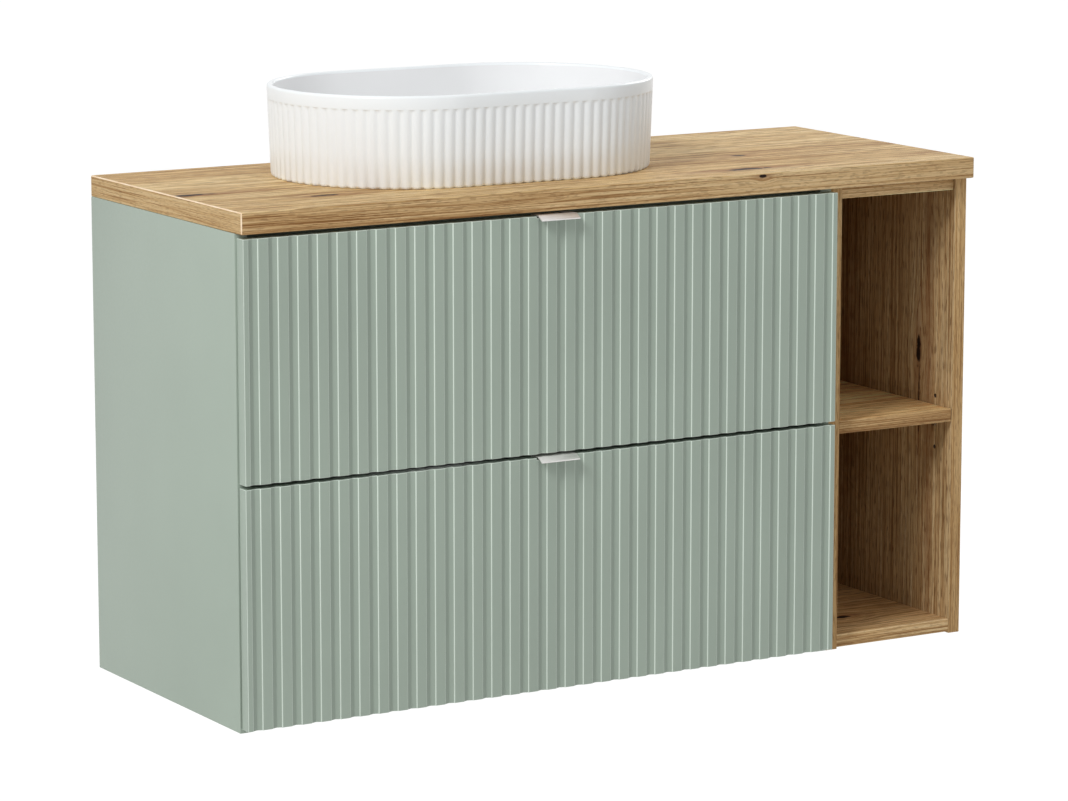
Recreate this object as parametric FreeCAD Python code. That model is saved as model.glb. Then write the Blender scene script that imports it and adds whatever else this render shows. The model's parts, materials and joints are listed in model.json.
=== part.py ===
"""Wall-hung bathroom vanity: two fluted drawers, an open shelf unit, a worktop and a ribbed oval basin.

Millimetres. X runs to the right from the middle of the width, Y runs back to the wall at Y = 0, and Z runs
up from the underside of the side panels.
"""
import FreeCAD, Part
import math
import os

V = FreeCAD.Vector
UP = V(0, 0, 1)
TO_WALL = V(0, 1, 0)

# How near two heights must be to count as the same
SAME = 0.01

# Carcass
CABINET_WIDTH = 800.0
SHELF_UNIT_WIDTH = 200.0
BODY_HEIGHT = 570.0
BODY_DEPTH = 373.0
BOARD = 16.0
BOTTOM_RISE = 2.0
FRONT_RAIL_DEPTH = 80.0
TOP_RAIL_HEIGHT = 80.0
TOP_RAIL_SETBACK = 18.0
LOWER_RAIL_HEIGHT = 80.0
BACK_SHEET = 3.0
PIPE_CUT_REACH = 90.0
PIPE_CUT_BELOW = 150.0

# Worktop
WORKTOP_THICKNESS = 25.0
WORKTOP_CHAMFER = 1.0
WORKTOP_HOLE_PLAY = 4.1

# Drawer fronts
FRONT_THICKNESS = 16.0
FRONT_GAP = 1.0
FRONT_SIDE_REVEAL = 2.0
FRONT_BOTTOM_REVEAL = 5.0
FRONT_TOP_GAP = 5.0
FRONT_MIDDLE_GAP = 4.5
FLUTE_PITCH = 25.0
FLUTE_WIDTH = 12.0
FLUTE_FLOOR = 3.6
FLUTE_DEPTH = 4.4
FLUTE_ARRIS = 0.8

# Edge pulls
HANDLE_OFFSET = 6.0
HANDLE_WIDTH = 52.0
HANDLE_SHEET = 1.5
HANDLE_FLANGE = 21.0
HANDLE_LIP = 9.0
HANDLE_DROP = 5.0
HANDLE_PLAY = 0.3
HANDLE_BEND = 0.8

# Drawer boxes
RUNNER_LENGTH = 300.0
RUNNER_WIDTH = 12.7
RUNNER_SETBACK = 2.0
RUNNER_RISE = 70.0
BOX_RISE = 25.0
UPPER_BOX_HEIGHT = 130.0
LOWER_BOX_HEIGHT = 170.0
DRAWER_BOTTOM = 4.0
BOTTOM_INSET = 10.0
GROOVE_DEPTH = 6.0
GROOVE_PLAY = 0.2
NOTCH_REACH = 90.0
LINER_WALL = 4.0
LINER_HEIGHT = 100.0

# Runner sections, out from the side panel towards the drawer and up or down from the runner's middle
RUNNER_SHEET = 1.2
CABINET_MEMBER_HEIGHT = 45.0
CABINET_MEMBER_REACH = 11.0
MIDDLE_MEMBER_HEIGHT = 35.2
MIDDLE_MEMBER_START = 2.8
MIDDLE_MEMBER_REACH = 10.0
DRAWER_MEMBER_HEIGHT = 25.2
DRAWER_MEMBER_START = 5.2
RUNNER_LIP = 2.4
CAGE_PLAY = 0.3
CAGE_START = 5.5
CAGE_END = 9.0
CAGE_LENGTH = 110.0

# Open shelf unit
SHELF_UNDERSIDE = 267.0
SHELF_PLAY = 0.5
SHELF_SETBACK = 1.0
PIN_RADIUS = 2.5
PIN_HOLE_DEPTH = 9.0
PIN_HOLE_PLAY = 0.05
PIN_SETBACK = 37.0
PIN_DROP = 4.0
PIN_TAB = 10.0
PIN_TAB_WIDTH = 8.0
PIN_SHEET = 1.5

# Basin
BASIN_LENGTH = 480.0
BASIN_WIDTH = 320.0
BASIN_HEIGHT = 108.0
BASIN_OFFSET = 6.0
BASIN_TO_WALL = 170.0
BASIN_TAPER = 4.0
BASIN_WALL = 7.0
RIM_EASE = 2.0
BAND_HEIGHT = 15.0
RIB_PITCH = 13.1
RIB_DEPTH = 2.4
RIB_FACETS = 3
RIB_INSET = 0.15
FLOOR_HEIGHT = 14.0
SEAT_PLAY = 0.5
FLOOR_ROUND = 22.0
FLOOR_FACETS = 2

# Waste and trap
WASTE_FLANGE_RADIUS = 32.0
WASTE_FLANGE = 2.5
WASTE_WALL = 3.9
WASTE_PLAY = 0.4
LOCK_NUT_WALL = 8.1
WASTE_BELOW = 42.0
GUIDE_WIDTH = 12.0
GUIDE_HEIGHT = 8.0
GUIDE_DROP = 4.0
GUIDE_ARM = 3.0
STEM_WIDTH = 7.0
STEM_PLAY = 0.1
STEM_LENGTH = 30.0
PLUG_RADIUS = 30.0
PLUG_THICKNESS = 4.0
PLUG_EASE = 2.2
PLUG_PLAY = 0.3
LOCK_NUT = 10.0
TUBE_RADIUS = 16.0
TUBE_WALL = 1.5
TUBE_PLAY = 0.3
TUBE_ENTRY_PLAY = 1.0
BRANCH_LENGTH = 16.0
SOCKET_DEPTH = 12.0
COLLAR_WALL = 4.1
COLLAR_SIDES = 12
COLLAR_LENGTH = 18.0
BRANCH_NUT = 15.0
COLLAR_PLAY = 0.1
TRAP_DROP = 44.0
TRAP_RADIUS = 29.0
TRAP_WALL = 2.5
TRAP_HEIGHT = 84.0
TRAP_OUTLET_DROP = 28.0
CUP_HEIGHT = 40.0
DIP_LENGTH = 20.0

# Wall fixing
HANGER_SHEET = 2.0
HANGER_WIDTH = 20.0
HANGER_REACH = 70.0
HANGER_HEIGHT = 24.0
HANGER_DROP = 20.0
HANGER_BEND = 1.0
HOOK_TO_WALL = 2.2
HOOK_TOOTH = 13.0
PLATE_SHEET = 2.5
PLATE_WIDTH = 40.0
PLATE_FLAT = 38.0
PLATE_LIP = 20.0
PLATE_OFFSET = 6.0
PLATE_HOLE_RADIUS = 3.5
PLATE_HOLE_PITCH = 20.0
PLATE_HOLE_INSET = 9.0
PLATE_INSET = 4.0
PLATE_BEND = 1.0
HANGER_NOTCH_PLAY = 4.0

# Places worked out from the sizes above
LEFT = -(CABINET_WIDTH + SHELF_UNIT_WIDTH) / 2
RIGHT = -LEFT
CABINET_RIGHT = LEFT + CABINET_WIDTH
CABINET_MIDDLE = (LEFT + CABINET_RIGHT) / 2
INNER_LEFT = LEFT + BOARD
INNER_RIGHT = CABINET_RIGHT - BOARD
SHELF_LEFT = CABINET_RIGHT + BOARD
SHELF_RIGHT = RIGHT - BOARD
WORKTOP_DEPTH = BODY_DEPTH + FRONT_GAP + FRONT_THICKNESS
WORKTOP_TOP = BODY_HEIGHT + WORKTOP_THICKNESS
FRONT_BACK = -(BODY_DEPTH + FRONT_GAP)
FRONT_FACE = -WORKTOP_DEPTH
FRONT_HEIGHT = (BODY_HEIGHT - FRONT_BOTTOM_REVEAL - FRONT_TOP_GAP - FRONT_MIDDLE_GAP) / 2
LOWER_FRONT_BOTTOM = FRONT_BOTTOM_REVEAL
UPPER_FRONT_BOTTOM = LOWER_FRONT_BOTTOM + FRONT_HEIGHT + FRONT_MIDDLE_GAP
HANDLE_X = CABINET_MIDDLE + HANDLE_OFFSET
RUNNER_FRONT = -(BODY_DEPTH - RUNNER_SETBACK)
RUNNER_BACK = RUNNER_FRONT + RUNNER_LENGTH
BOX_LEFT = INNER_LEFT + RUNNER_WIDTH
BOX_RIGHT = INNER_RIGHT - RUNNER_WIDTH
BASIN_X = CABINET_MIDDLE + BASIN_OFFSET
BASIN_Y = -BASIN_TO_WALL
DRAIN = V(BASIN_X, BASIN_Y, 0)
WASTE_BORE = TUBE_RADIUS + TUBE_ENTRY_PLAY
WASTE_RADIUS = WASTE_BORE + WASTE_WALL
LOCK_NUT_RADIUS = WASTE_RADIUS + LOCK_NUT_WALL
COLLAR_RADIUS = WASTE_RADIUS + COLLAR_WALL
WORKTOP_HOLE_RADIUS = WASTE_RADIUS + WORKTOP_HOLE_PLAY
SEAT = WORKTOP_TOP + FLOOR_HEIGHT - WASTE_FLANGE
WASTE_END = BODY_HEIGHT - WASTE_BELOW
TRAP_TOP = WASTE_END - TRAP_DROP
TRAP_BOTTOM = TRAP_TOP - TRAP_HEIGHT
OUTLET_Z = TRAP_TOP - TRAP_OUTLET_DROP
BRANCH_END = BASIN_Y + TRAP_RADIUS + BRANCH_LENGTH
HANGER_TOP = BODY_HEIGHT - HANGER_DROP

parts = {}


def box(x0, x1, y0, y1, z0, z1):
    """A block between two corners."""
    return Part.makeBox(x1 - x0, y1 - y0, z1 - z0, V(x0, y0, z0))


def rod(radius, length, start, direction=UP):
    """A round bar from start along direction."""
    return Part.makeCylinder(radius, length, start, direction)


def cut_all(shape, tools):
    """The shape less every tool."""
    return shape.cut(Part.makeCompound(tools))


def tube(outer, inner, length, start, direction=UP):
    """A round tube from start along direction."""
    return rod(outer, length, start, direction).cut(rod(inner, length, start, direction))


def corner_normals(a, b):
    """Unit direction from a to b and its left-hand normal, in a section's own plane."""
    length = math.hypot(b[0] - a[0], b[1] - a[1])
    along = ((b[0] - a[0]) / length, (b[1] - a[1]) / length)
    return along, (-along[1], along[0])


def bent_strip(points, thickness, bend, place):
    """The face of a folded sheet whose middle line runs through points.

    bend is the radius inside each fold, and place turns a pair of section coordinates into a point in space.
    """
    half = thickness / 2
    sides = {half: [], -half: []}
    for offset, edges in sides.items():
        _, normal = corner_normals(points[0], points[1])
        cursor = (points[0][0] + normal[0] * offset, points[0][1] + normal[1] * offset)
        for before, corner, after in zip(points, points[1:], points[2:]):
            u, n = corner_normals(before, corner)
            v, _ = corner_normals(corner, after)
            turn = math.atan2(u[0] * v[1] - u[1] * v[0], u[0] * v[0] + u[1] * v[1])
            side = math.copysign(1.0, turn)
            middle = bend + half
            reach = middle * math.tan(abs(turn) / 2)
            centre = (corner[0] - u[0] * reach + n[0] * side * middle,
                      corner[1] - u[1] * reach + n[1] * side * middle)
            radius = middle - side * offset
            arc = []
            for share in (0.0, 0.5, 1.0):
                angle = turn * share
                spoke = (-side * (n[0] * math.cos(angle) - u[0] * math.sin(angle)),
                         -side * (n[1] * math.cos(angle) - u[1] * math.sin(angle)))
                arc.append((centre[0] + spoke[0] * radius, centre[1] + spoke[1] * radius))
            edges.append(Part.LineSegment(place(*cursor), place(*arc[0])).toShape())
            edges.append(Part.Arc(*[place(*p) for p in arc]).toShape())
            cursor = arc[2]
        _, normal = corner_normals(points[-2], points[-1])
        end = (points[-1][0] + normal[0] * offset, points[-1][1] + normal[1] * offset)
        edges.append(Part.LineSegment(place(*cursor), place(*end)).toShape())
    left, right = sides[half], sides[-half]
    start_cap = Part.LineSegment(left[0].firstVertex().Point, right[0].firstVertex().Point).toShape()
    end_cap = Part.LineSegment(left[-1].lastVertex().Point, right[-1].lastVertex().Point).toShape()
    loop = Part.__sortEdges__(left + right + [start_cap, end_cap])
    return Part.Face(Part.Wire(loop))


# Worktop and basin


def worktop():
    """Solid top with eased upper edges and the hole for the basin waste."""
    slab = box(LEFT, RIGHT, -WORKTOP_DEPTH, 0, BODY_HEIGHT, WORKTOP_TOP)
    eased = [e for e in slab.Edges if on_outer_arris(e)]
    slab = slab.makeChamfer(WORKTOP_CHAMFER, eased)
    return slab.cut(rod(WORKTOP_HOLE_RADIUS, WORKTOP_THICKNESS, DRAIN + V(0, 0, BODY_HEIGHT)))


def on_outer_arris(edge):
    """True for the worktop's top edges and upright corners, apart from those against the wall."""
    middle = edge.CenterOfMass
    if middle.y > -WORKTOP_CHAMFER:
        return False
    top = abs(middle.z - WORKTOP_TOP) < SAME
    upright = abs(middle.z - (BODY_HEIGHT + WORKTOP_TOP) / 2) < SAME
    return top or upright


def basin_radius(height):
    """Half the basin's width at a height above the worktop: the walls lean out towards the rim."""
    return BASIN_WIDTH / 2 - BASIN_TAPER * (1 - height / BASIN_HEIGHT)


def oval_wire(radius, height):
    """A flat-sided oval round the basin's middle, radius out from its straight spine."""
    half = (BASIN_LENGTH - BASIN_WIDTH) / 2
    z = WORKTOP_TOP + height
    east, west = BASIN_X + half, BASIN_X - half
    front, back = BASIN_Y - radius, BASIN_Y + radius
    return Part.Wire([
        Part.Arc(V(east, front, z), V(east + radius, BASIN_Y, z), V(east, back, z)).toShape(),
        Part.LineSegment(V(east, back, z), V(west, back, z)).toShape(),
        Part.Arc(V(west, back, z), V(west - radius, BASIN_Y, z), V(west, front, z)).toShape(),
        Part.LineSegment(V(west, front, z), V(east, front, z)).toShape(),
    ])


def rib_stations():
    """Points round the oval, RIB_FACETS to a rib.

    Each is a place on the spine, the two parts of an outward direction, and how far across its rib it lies.
    """
    half = (BASIN_LENGTH - BASIN_WIDTH) / 2
    end_points = RIB_FACETS * round(math.pi * BASIN_WIDTH / 2 / RIB_PITCH)
    side_points = RIB_FACETS * max(1, round(2 * half / RIB_PITCH))
    stations = []
    for side in (1, -1):
        for k in range(end_points):
            angle = math.pi * (k / end_points - side / 2)
            stations.append((side * half, math.cos(angle), math.sin(angle), k % RIB_FACETS / RIB_FACETS))
        for k in range(side_points):
            x = side * half * (1 - 2 * k / side_points)
            stations.append((x, 0.0, float(side), k % RIB_FACETS / RIB_FACETS))
    return stations


def ribbed_wire(height):
    """The oval with rounded ribs, each a half wave; on the ends their depth scales with the oval."""
    radius = basin_radius(height) - RIB_INSET
    ring = []
    for spine, nx, ny, share in rib_stations():
        depth = RIB_DEPTH * (radius / basin_radius(0) if nx else 1)
        reach = radius - depth * (1 - math.sin(math.pi * share))
        ring.append(V(BASIN_X + spine + nx * reach, BASIN_Y + ny * reach, WORKTOP_TOP + height))
    return Part.makePolygon(ring + ring[:1])


def bowl_hollow():
    """The inside of the bowl: walls parallel to the outside, turning into the floor in a few facets."""
    sections = []
    for k in range(FLOOR_FACETS + 1):
        angle = math.pi / 2 * k / FLOOR_FACETS
        height = FLOOR_HEIGHT + FLOOR_ROUND * (1 - math.cos(angle))
        radius = basin_radius(height) - BASIN_WALL - FLOOR_ROUND * (1 - math.sin(angle))
        sections.append(oval_wire(radius, height))
    sections.append(oval_wire(basin_radius(BASIN_HEIGHT) - BASIN_WALL, BASIN_HEIGHT))
    return Part.makeLoft(sections, True, True)


def basin():
    """Ribbed oval bowl with a plain band under its eased rim, and a seat and hole for the waste."""
    band = BASIN_HEIGHT - BAND_HEIGHT
    ribs = Part.makeLoft([ribbed_wire(0), ribbed_wire(band)], True, True)
    collar = Part.makeLoft([oval_wire(basin_radius(band), band),
                            oval_wire(basin_radius(BASIN_HEIGHT), BASIN_HEIGHT)], True, True)
    bowl = ribs.fuse(collar).cut(bowl_hollow())
    bowl = bowl.makeChamfer(RIM_EASE, [e for e in bowl.Edges if at_level(e, WORKTOP_TOP + BASIN_HEIGHT)])
    seat = rod(WASTE_FLANGE_RADIUS + SEAT_PLAY, WASTE_FLANGE, DRAIN + V(0, 0, SEAT))
    hole = rod(WASTE_RADIUS + WASTE_PLAY, FLOOR_HEIGHT, DRAIN + V(0, 0, WORKTOP_TOP))
    return bowl.cut(seat.fuse(hole)).removeSplitter()


def at_level(edge, z):
    """True for an edge that lies flat at height z."""
    bounds = edge.BoundBox
    return abs(bounds.ZMin - z) < SAME and abs(bounds.ZMax - z) < SAME


# Waste and bottle trap


def square_bar(width, length, start):
    """An upright square bar standing on start."""
    return Part.makeBox(width, width, length, start - V(width / 2, width / 2, 0))


def waste_body():
    """Flanged waste with a square guide for the plug's stem, held by four arms."""
    flange = rod(WASTE_FLANGE_RADIUS, WASTE_FLANGE, DRAIN + V(0, 0, SEAT))
    barrel = rod(WASTE_RADIUS, SEAT - WASTE_END, DRAIN + V(0, 0, WASTE_END))
    bore = rod(WASTE_BORE, SEAT + WASTE_FLANGE - WASTE_END, DRAIN + V(0, 0, WASTE_END))
    base = DRAIN + V(0, 0, SEAT - GUIDE_DROP - GUIDE_HEIGHT)
    reach = (WASTE_BORE + WASTE_RADIUS) / 2
    arms = [Part.makeBox(2 * reach, GUIDE_ARM, GUIDE_HEIGHT, base - V(reach, GUIDE_ARM / 2, 0)),
            Part.makeBox(GUIDE_ARM, 2 * reach, GUIDE_HEIGHT, base - V(GUIDE_ARM / 2, reach, 0))]
    guide = square_bar(GUIDE_WIDTH, GUIDE_HEIGHT, base).fuse(arms)
    guide = guide.cut(square_bar(STEM_WIDTH + 2 * STEM_PLAY, GUIDE_HEIGHT, base))
    return flange.fuse(barrel).cut(bore).fuse(guide).removeSplitter()


def waste_plug():
    """Push-open plug: an eased disc on a square stem that slides in the waste's guide."""
    base = DRAIN + V(0, 0, SEAT + WASTE_FLANGE + PLUG_PLAY)
    disc = rod(PLUG_RADIUS, PLUG_THICKNESS, base)
    disc = disc.makeChamfer(PLUG_EASE, [e for e in disc.Edges if at_level(e, base.z + PLUG_THICKNESS)])
    return disc.fuse(square_bar(STEM_WIDTH, STEM_LENGTH, base - V(0, 0, STEM_LENGTH)))


def prism(sides, radius, length, start, direction):
    """A regular prism along direction from start, radius out to its corners."""
    turn = FreeCAD.Rotation(UP, direction)
    corners = [start + turn.multVec(V(radius * math.cos(2 * math.pi * k / sides),
                                      radius * math.sin(2 * math.pi * k / sides), 0))
               for k in range(sides + 1)]
    return Part.Face(Part.makePolygon(corners)).extrude(direction * length)


def threaded_ring(sides, radius, length, start, direction=UP):
    """A nut with flats to turn it by, bored to the waste's radius."""
    return prism(sides, radius, length, start, direction).cut(
        rod(WASTE_RADIUS + COLLAR_PLAY, length, start, direction))


def waste_nut():
    """Hexagon nut that pulls the waste down against the worktop."""
    return threaded_ring(6, LOCK_NUT_RADIUS, LOCK_NUT, DRAIN + V(0, 0, BODY_HEIGHT - LOCK_NUT))


def collar_nuts():
    """The trap's two collar nuts: under the waste and on the branch."""
    branch_start = V(BASIN_X, BRANCH_END - BRANCH_NUT, OUTLET_Z)
    return [
        threaded_ring(COLLAR_SIDES, COLLAR_RADIUS, COLLAR_LENGTH, DRAIN + V(0, 0, WASTE_END)),
        threaded_ring(COLLAR_SIDES, COLLAR_RADIUS, BRANCH_NUT, branch_start, TO_WALL),
    ]


def trap_inlet_tube():
    """Tube that carries the water from the waste down into the cup."""
    bottom = TRAP_BOTTOM - DIP_LENGTH
    length = WASTE_END + SOCKET_DEPTH - bottom
    return tube(TUBE_RADIUS, TUBE_RADIUS - TUBE_WALL, length, DRAIN + V(0, 0, bottom))


def trap_body():
    """Bottle body, open below, with an eye for the inlet tube on top and a branch to the wall."""
    bottle = rod(TRAP_RADIUS, TRAP_HEIGHT, DRAIN + V(0, 0, TRAP_BOTTOM))
    branch_start = V(BASIN_X, BASIN_Y, OUTLET_Z)
    branch = rod(WASTE_RADIUS, BRANCH_END - BASIN_Y, branch_start, TO_WALL)
    inside = rod(TRAP_RADIUS - TRAP_WALL, TRAP_HEIGHT - TRAP_WALL, DRAIN + V(0, 0, TRAP_BOTTOM))
    eye = rod(TUBE_RADIUS + TUBE_PLAY, TRAP_HEIGHT, DRAIN + V(0, 0, TRAP_BOTTOM))
    way_out = rod(TUBE_RADIUS + TUBE_PLAY, BRANCH_END - BASIN_Y, branch_start, TO_WALL)
    return bottle.fuse(branch).cut(inside.fuse([eye, way_out]))


def trap_cup():
    """Removable cup under the trap's body."""
    bottom = TRAP_BOTTOM - CUP_HEIGHT
    cup = rod(TRAP_RADIUS + TRAP_WALL, CUP_HEIGHT, DRAIN + V(0, 0, bottom))
    return cup.cut(rod(TRAP_RADIUS - TRAP_WALL, CUP_HEIGHT, DRAIN + V(0, 0, bottom + TRAP_WALL)))


def outlet_pipe():
    """Drain pipe from the trap's branch to the wall."""
    start = V(BASIN_X, BRANCH_END - SOCKET_DEPTH, OUTLET_Z)
    return tube(TUBE_RADIUS, TUBE_RADIUS - TUBE_WALL, -start.y, start, TO_WALL)


# Carcass


def carcass():
    """The green cabinet without its drawers."""
    parts["cabinet_side_left"] = box(LEFT, INNER_LEFT, -BODY_DEPTH, 0, 0, BODY_HEIGHT)
    parts["cabinet_side_right"] = box(INNER_RIGHT, CABINET_RIGHT, -BODY_DEPTH, 0, 0, BODY_HEIGHT)
    parts["cabinet_bottom"] = box(INNER_LEFT, INNER_RIGHT, -BODY_DEPTH, -BOARD,
                                  BOTTOM_RISE, BOTTOM_RISE + BOARD)
    parts["top_front_rail"] = box(INNER_LEFT, INNER_RIGHT, -BODY_DEPTH, -(BODY_DEPTH - FRONT_RAIL_DEPTH),
                                  BODY_HEIGHT - BOARD, BODY_HEIGHT)
    parts["top_back_rail"] = top_back_rail()
    parts["lower_back_rail"] = box(INNER_LEFT, INNER_RIGHT, -BOARD, 0, 0, LOWER_RAIL_HEIGHT)
    parts["cabinet_back"] = cabinet_back()


def top_back_rail():
    """Upright rail near the wall, notched at both ends for the hangers."""
    back = -TOP_RAIL_SETBACK
    rail = box(INNER_LEFT, INNER_RIGHT, back - BOARD, back, BODY_HEIGHT - TOP_RAIL_HEIGHT, BODY_HEIGHT)
    notch = HANGER_WIDTH + HANGER_NOTCH_PLAY
    notch_bottom = HANGER_TOP - HANGER_HEIGHT - HANGER_NOTCH_PLAY
    return cut_all(rail, [
        box(INNER_LEFT, INNER_LEFT + notch, back - BOARD, back, notch_bottom, BODY_HEIGHT),
        box(INNER_RIGHT - notch, INNER_RIGHT, back - BOARD, back, notch_bottom, BODY_HEIGHT),
    ])


def cabinet_back():
    """Thin back between the rails, cut out round the pipes."""
    front, top = -(BOARD + BACK_SHEET), BODY_HEIGHT - TOP_RAIL_HEIGHT
    sheet = box(INNER_LEFT, INNER_RIGHT, front, -BOARD, BOTTOM_RISE + BOARD, top)
    return sheet.cut(box(BASIN_X - PIPE_CUT_REACH, BASIN_X + PIPE_CUT_REACH, front, -BOARD,
                         OUTLET_Z - PIPE_CUT_BELOW, top))


# Wall fixing


def hanger(wall, side):
    """Angle bracket on a side panel, with a hook at its back end; side is the way into the cabinet."""

    def place(y, z):
        return V(wall, y, z)

    tooth_y = -(HOOK_TO_WALL + HANGER_SHEET / 2)
    strap_z = HANGER_TOP - HANGER_SHEET / 2
    middle_line = [(tooth_y, HANGER_TOP - HOOK_TOOTH), (tooth_y, strap_z), (-HANGER_REACH, strap_z)]
    hook = bent_strip(middle_line, HANGER_SHEET, HANGER_BEND, place).extrude(V(side * HANGER_WIDTH, 0, 0))
    x0, x1 = sorted((wall, wall + side * HANGER_SHEET))
    flange = box(x0, x1, -HANGER_REACH, -TOP_RAIL_SETBACK, HANGER_TOP - HANGER_HEIGHT, strap_z)
    return hook.fuse(flange).removeSplitter()


def wall_plate(wall, side):
    """Stepped plate screwed to the wall: its raised lip carries a hanger's hook."""
    x0 = wall + side * PLATE_INSET

    def place(y, z):
        return V(x0, y, z)

    half = PLATE_SHEET / 2
    lip_top = HANGER_TOP - HANGER_SHEET
    step_top = lip_top - PLATE_LIP
    middle_line = [(-half, step_top - PLATE_OFFSET - PLATE_FLAT), (-half, step_top - PLATE_OFFSET),
                   (-half - PLATE_OFFSET, step_top), (-half - PLATE_OFFSET, lip_top)]
    plate = bent_strip(middle_line, PLATE_SHEET, PLATE_BEND, place).extrude(V(side * PLATE_WIDTH, 0, 0))
    return cut_all(plate, [rod(PLATE_HOLE_RADIUS, PLATE_SHEET, V(x, -PLATE_SHEET, z), TO_WALL)
                           for x, z in plate_hole_places(wall, side)])


def plate_hole_places(wall, side):
    """X and Z of a wall plate's two holes, one above the other."""
    x = wall + side * (PLATE_INSET + PLATE_WIDTH / 2)
    lowest = HANGER_TOP - HANGER_SHEET - PLATE_LIP - PLATE_OFFSET - PLATE_FLAT + PLATE_HOLE_INSET
    return [(x, lowest), (x, lowest + PLATE_HOLE_PITCH)]


# Open shelf unit


def pin_places():
    """Face point and direction into the board of each shelf pin in use."""
    places = []
    for x, direction in ((SHELF_LEFT, -1), (SHELF_RIGHT, 1)):
        for y in (-(BODY_DEPTH - PIN_SETBACK), -(BOARD + PIN_SETBACK)):
            places.append((V(x, y, SHELF_UNDERSIDE - PIN_DROP), V(direction, 0, 0)))
    return places


def pin_holes():
    """The blind holes of the pins."""
    return [rod(PIN_RADIUS + PIN_HOLE_PLAY, PIN_HOLE_DEPTH, face, inward) for face, inward in pin_places()]


def shelf_pin(face, inward):
    """A plug in the board with an angle that the shelf lies on."""
    plug = rod(PIN_RADIUS, PIN_HOLE_DEPTH, face, inward)
    out = -inward.x
    y0, y1 = face.y - PIN_TAB_WIDTH / 2, face.y + PIN_TAB_WIDTH / 2
    x0, x1 = sorted((face.x, face.x + out * PIN_SHEET))
    upright = box(x0, x1, y0, y1, SHELF_UNDERSIDE - PIN_TAB, SHELF_UNDERSIDE)
    x0, x1 = sorted((face.x, face.x + out * PIN_TAB))
    ledge = box(x0, x1, y0, y1, SHELF_UNDERSIDE - PIN_SHEET, SHELF_UNDERSIDE)
    return plug.fuse([upright, ledge]).removeSplitter()


def shelf_unit():
    """The oak unit, open at the front."""
    left = box(CABINET_RIGHT, SHELF_LEFT, -BODY_DEPTH, 0, 0, BODY_HEIGHT)
    right = box(SHELF_RIGHT, RIGHT, -BODY_DEPTH, 0, 0, BODY_HEIGHT)
    parts["shelf_side_left"] = cut_all(left, pin_holes())
    parts["shelf_side_right"] = cut_all(right, pin_holes())
    parts["shelf_unit_bottom"] = box(SHELF_LEFT, SHELF_RIGHT, -BODY_DEPTH, -BOARD,
                                     BOTTOM_RISE, BOTTOM_RISE + BOARD)
    parts["shelf_unit_top"] = box(SHELF_LEFT, SHELF_RIGHT, -BODY_DEPTH, -BOARD,
                                  BODY_HEIGHT - BOARD, BODY_HEIGHT)
    parts["shelf_unit_back"] = box(SHELF_LEFT, SHELF_RIGHT, -BOARD, 0, BOTTOM_RISE, BODY_HEIGHT)
    parts["shelf_board"] = box(SHELF_LEFT + SHELF_PLAY, SHELF_RIGHT - SHELF_PLAY,
                               -(BODY_DEPTH - SHELF_SETBACK), -(BOARD + SHELF_SETBACK),
                               SHELF_UNDERSIDE, SHELF_UNDERSIDE + BOARD)
    parts["shelf_pins"] = Part.makeCompound([shelf_pin(face, inward) for face, inward in pin_places()])


# Drawers


def fluted_outline(x0, x1):
    """Plan of a front: flat behind, and evenly spaced grooves with sloping walls and eased arrises."""
    count = max(1, round((x1 - x0) / FLUTE_PITCH))
    pitch = (x1 - x0) / count
    slope = math.atan2(FLUTE_DEPTH, (FLUTE_WIDTH - FLUTE_FLOOR) / 2)
    half_groove = [(-FLUTE_WIDTH / 2 - FLUTE_ARRIS, 0.0),
                   (-FLUTE_WIDTH / 2 + FLUTE_ARRIS * math.cos(slope), FLUTE_ARRIS * math.sin(slope)),
                   (-FLUTE_FLOOR / 2, FLUTE_DEPTH)]
    groove = half_groove + [(-x, depth) for x, depth in reversed(half_groove)]
    middles = [x0 + (k + 0.5) * pitch for k in range(count)]
    face = [V(middle + x, FRONT_FACE + depth, 0) for middle in middles for x, depth in groove]
    corners = [V(x1, FRONT_FACE, 0), V(x1, FRONT_BACK, 0), V(x0, FRONT_BACK, 0), V(x0, FRONT_FACE, 0)]
    return Part.makePolygon(corners[-1:] + face + corners)


def drawer_front(bottom):
    """A fluted front, rebated behind for its edge pull."""
    outline = fluted_outline(LEFT + FRONT_SIDE_REVEAL, CABINET_RIGHT - FRONT_SIDE_REVEAL)
    front = Part.Face(outline).extrude(V(0, 0, FRONT_HEIGHT))
    front.translate(V(0, 0, bottom))
    top = bottom + FRONT_HEIGHT
    reach = HANDLE_WIDTH / 2 + HANDLE_PLAY
    rebate = box(HANDLE_X - reach, HANDLE_X + reach, FRONT_BACK - HANDLE_SHEET - HANDLE_BEND, FRONT_BACK,
                 top - HANDLE_FLANGE - HANDLE_PLAY, top)
    return front.cut(rebate)


def edge_pull(bottom):
    """Folded sheet: a leg behind the front, a strip over its top edge and a sloping lip to pull."""

    def place(y, z):
        return V(HANDLE_X - HANDLE_WIDTH / 2, y, z)

    top = bottom + FRONT_HEIGHT
    half = HANDLE_SHEET / 2
    leg_y = FRONT_BACK - half
    fold_y = FRONT_FACE - HANDLE_BEND - half
    middle_line = [(leg_y, top - HANDLE_FLANGE), (leg_y, top + half), (fold_y, top + half),
                   (fold_y - HANDLE_LIP, top + half - HANDLE_DROP)]
    return bent_strip(middle_line, HANDLE_SHEET, HANDLE_BEND, place).extrude(V(HANDLE_WIDTH, 0, 0))


def trap_notch(reach, z0, z1):
    """The space round the trap, open to the back of the drawer."""
    return box(BASIN_X - reach, BASIN_X + reach, BASIN_Y - reach, 0, z0, z1)


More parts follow.
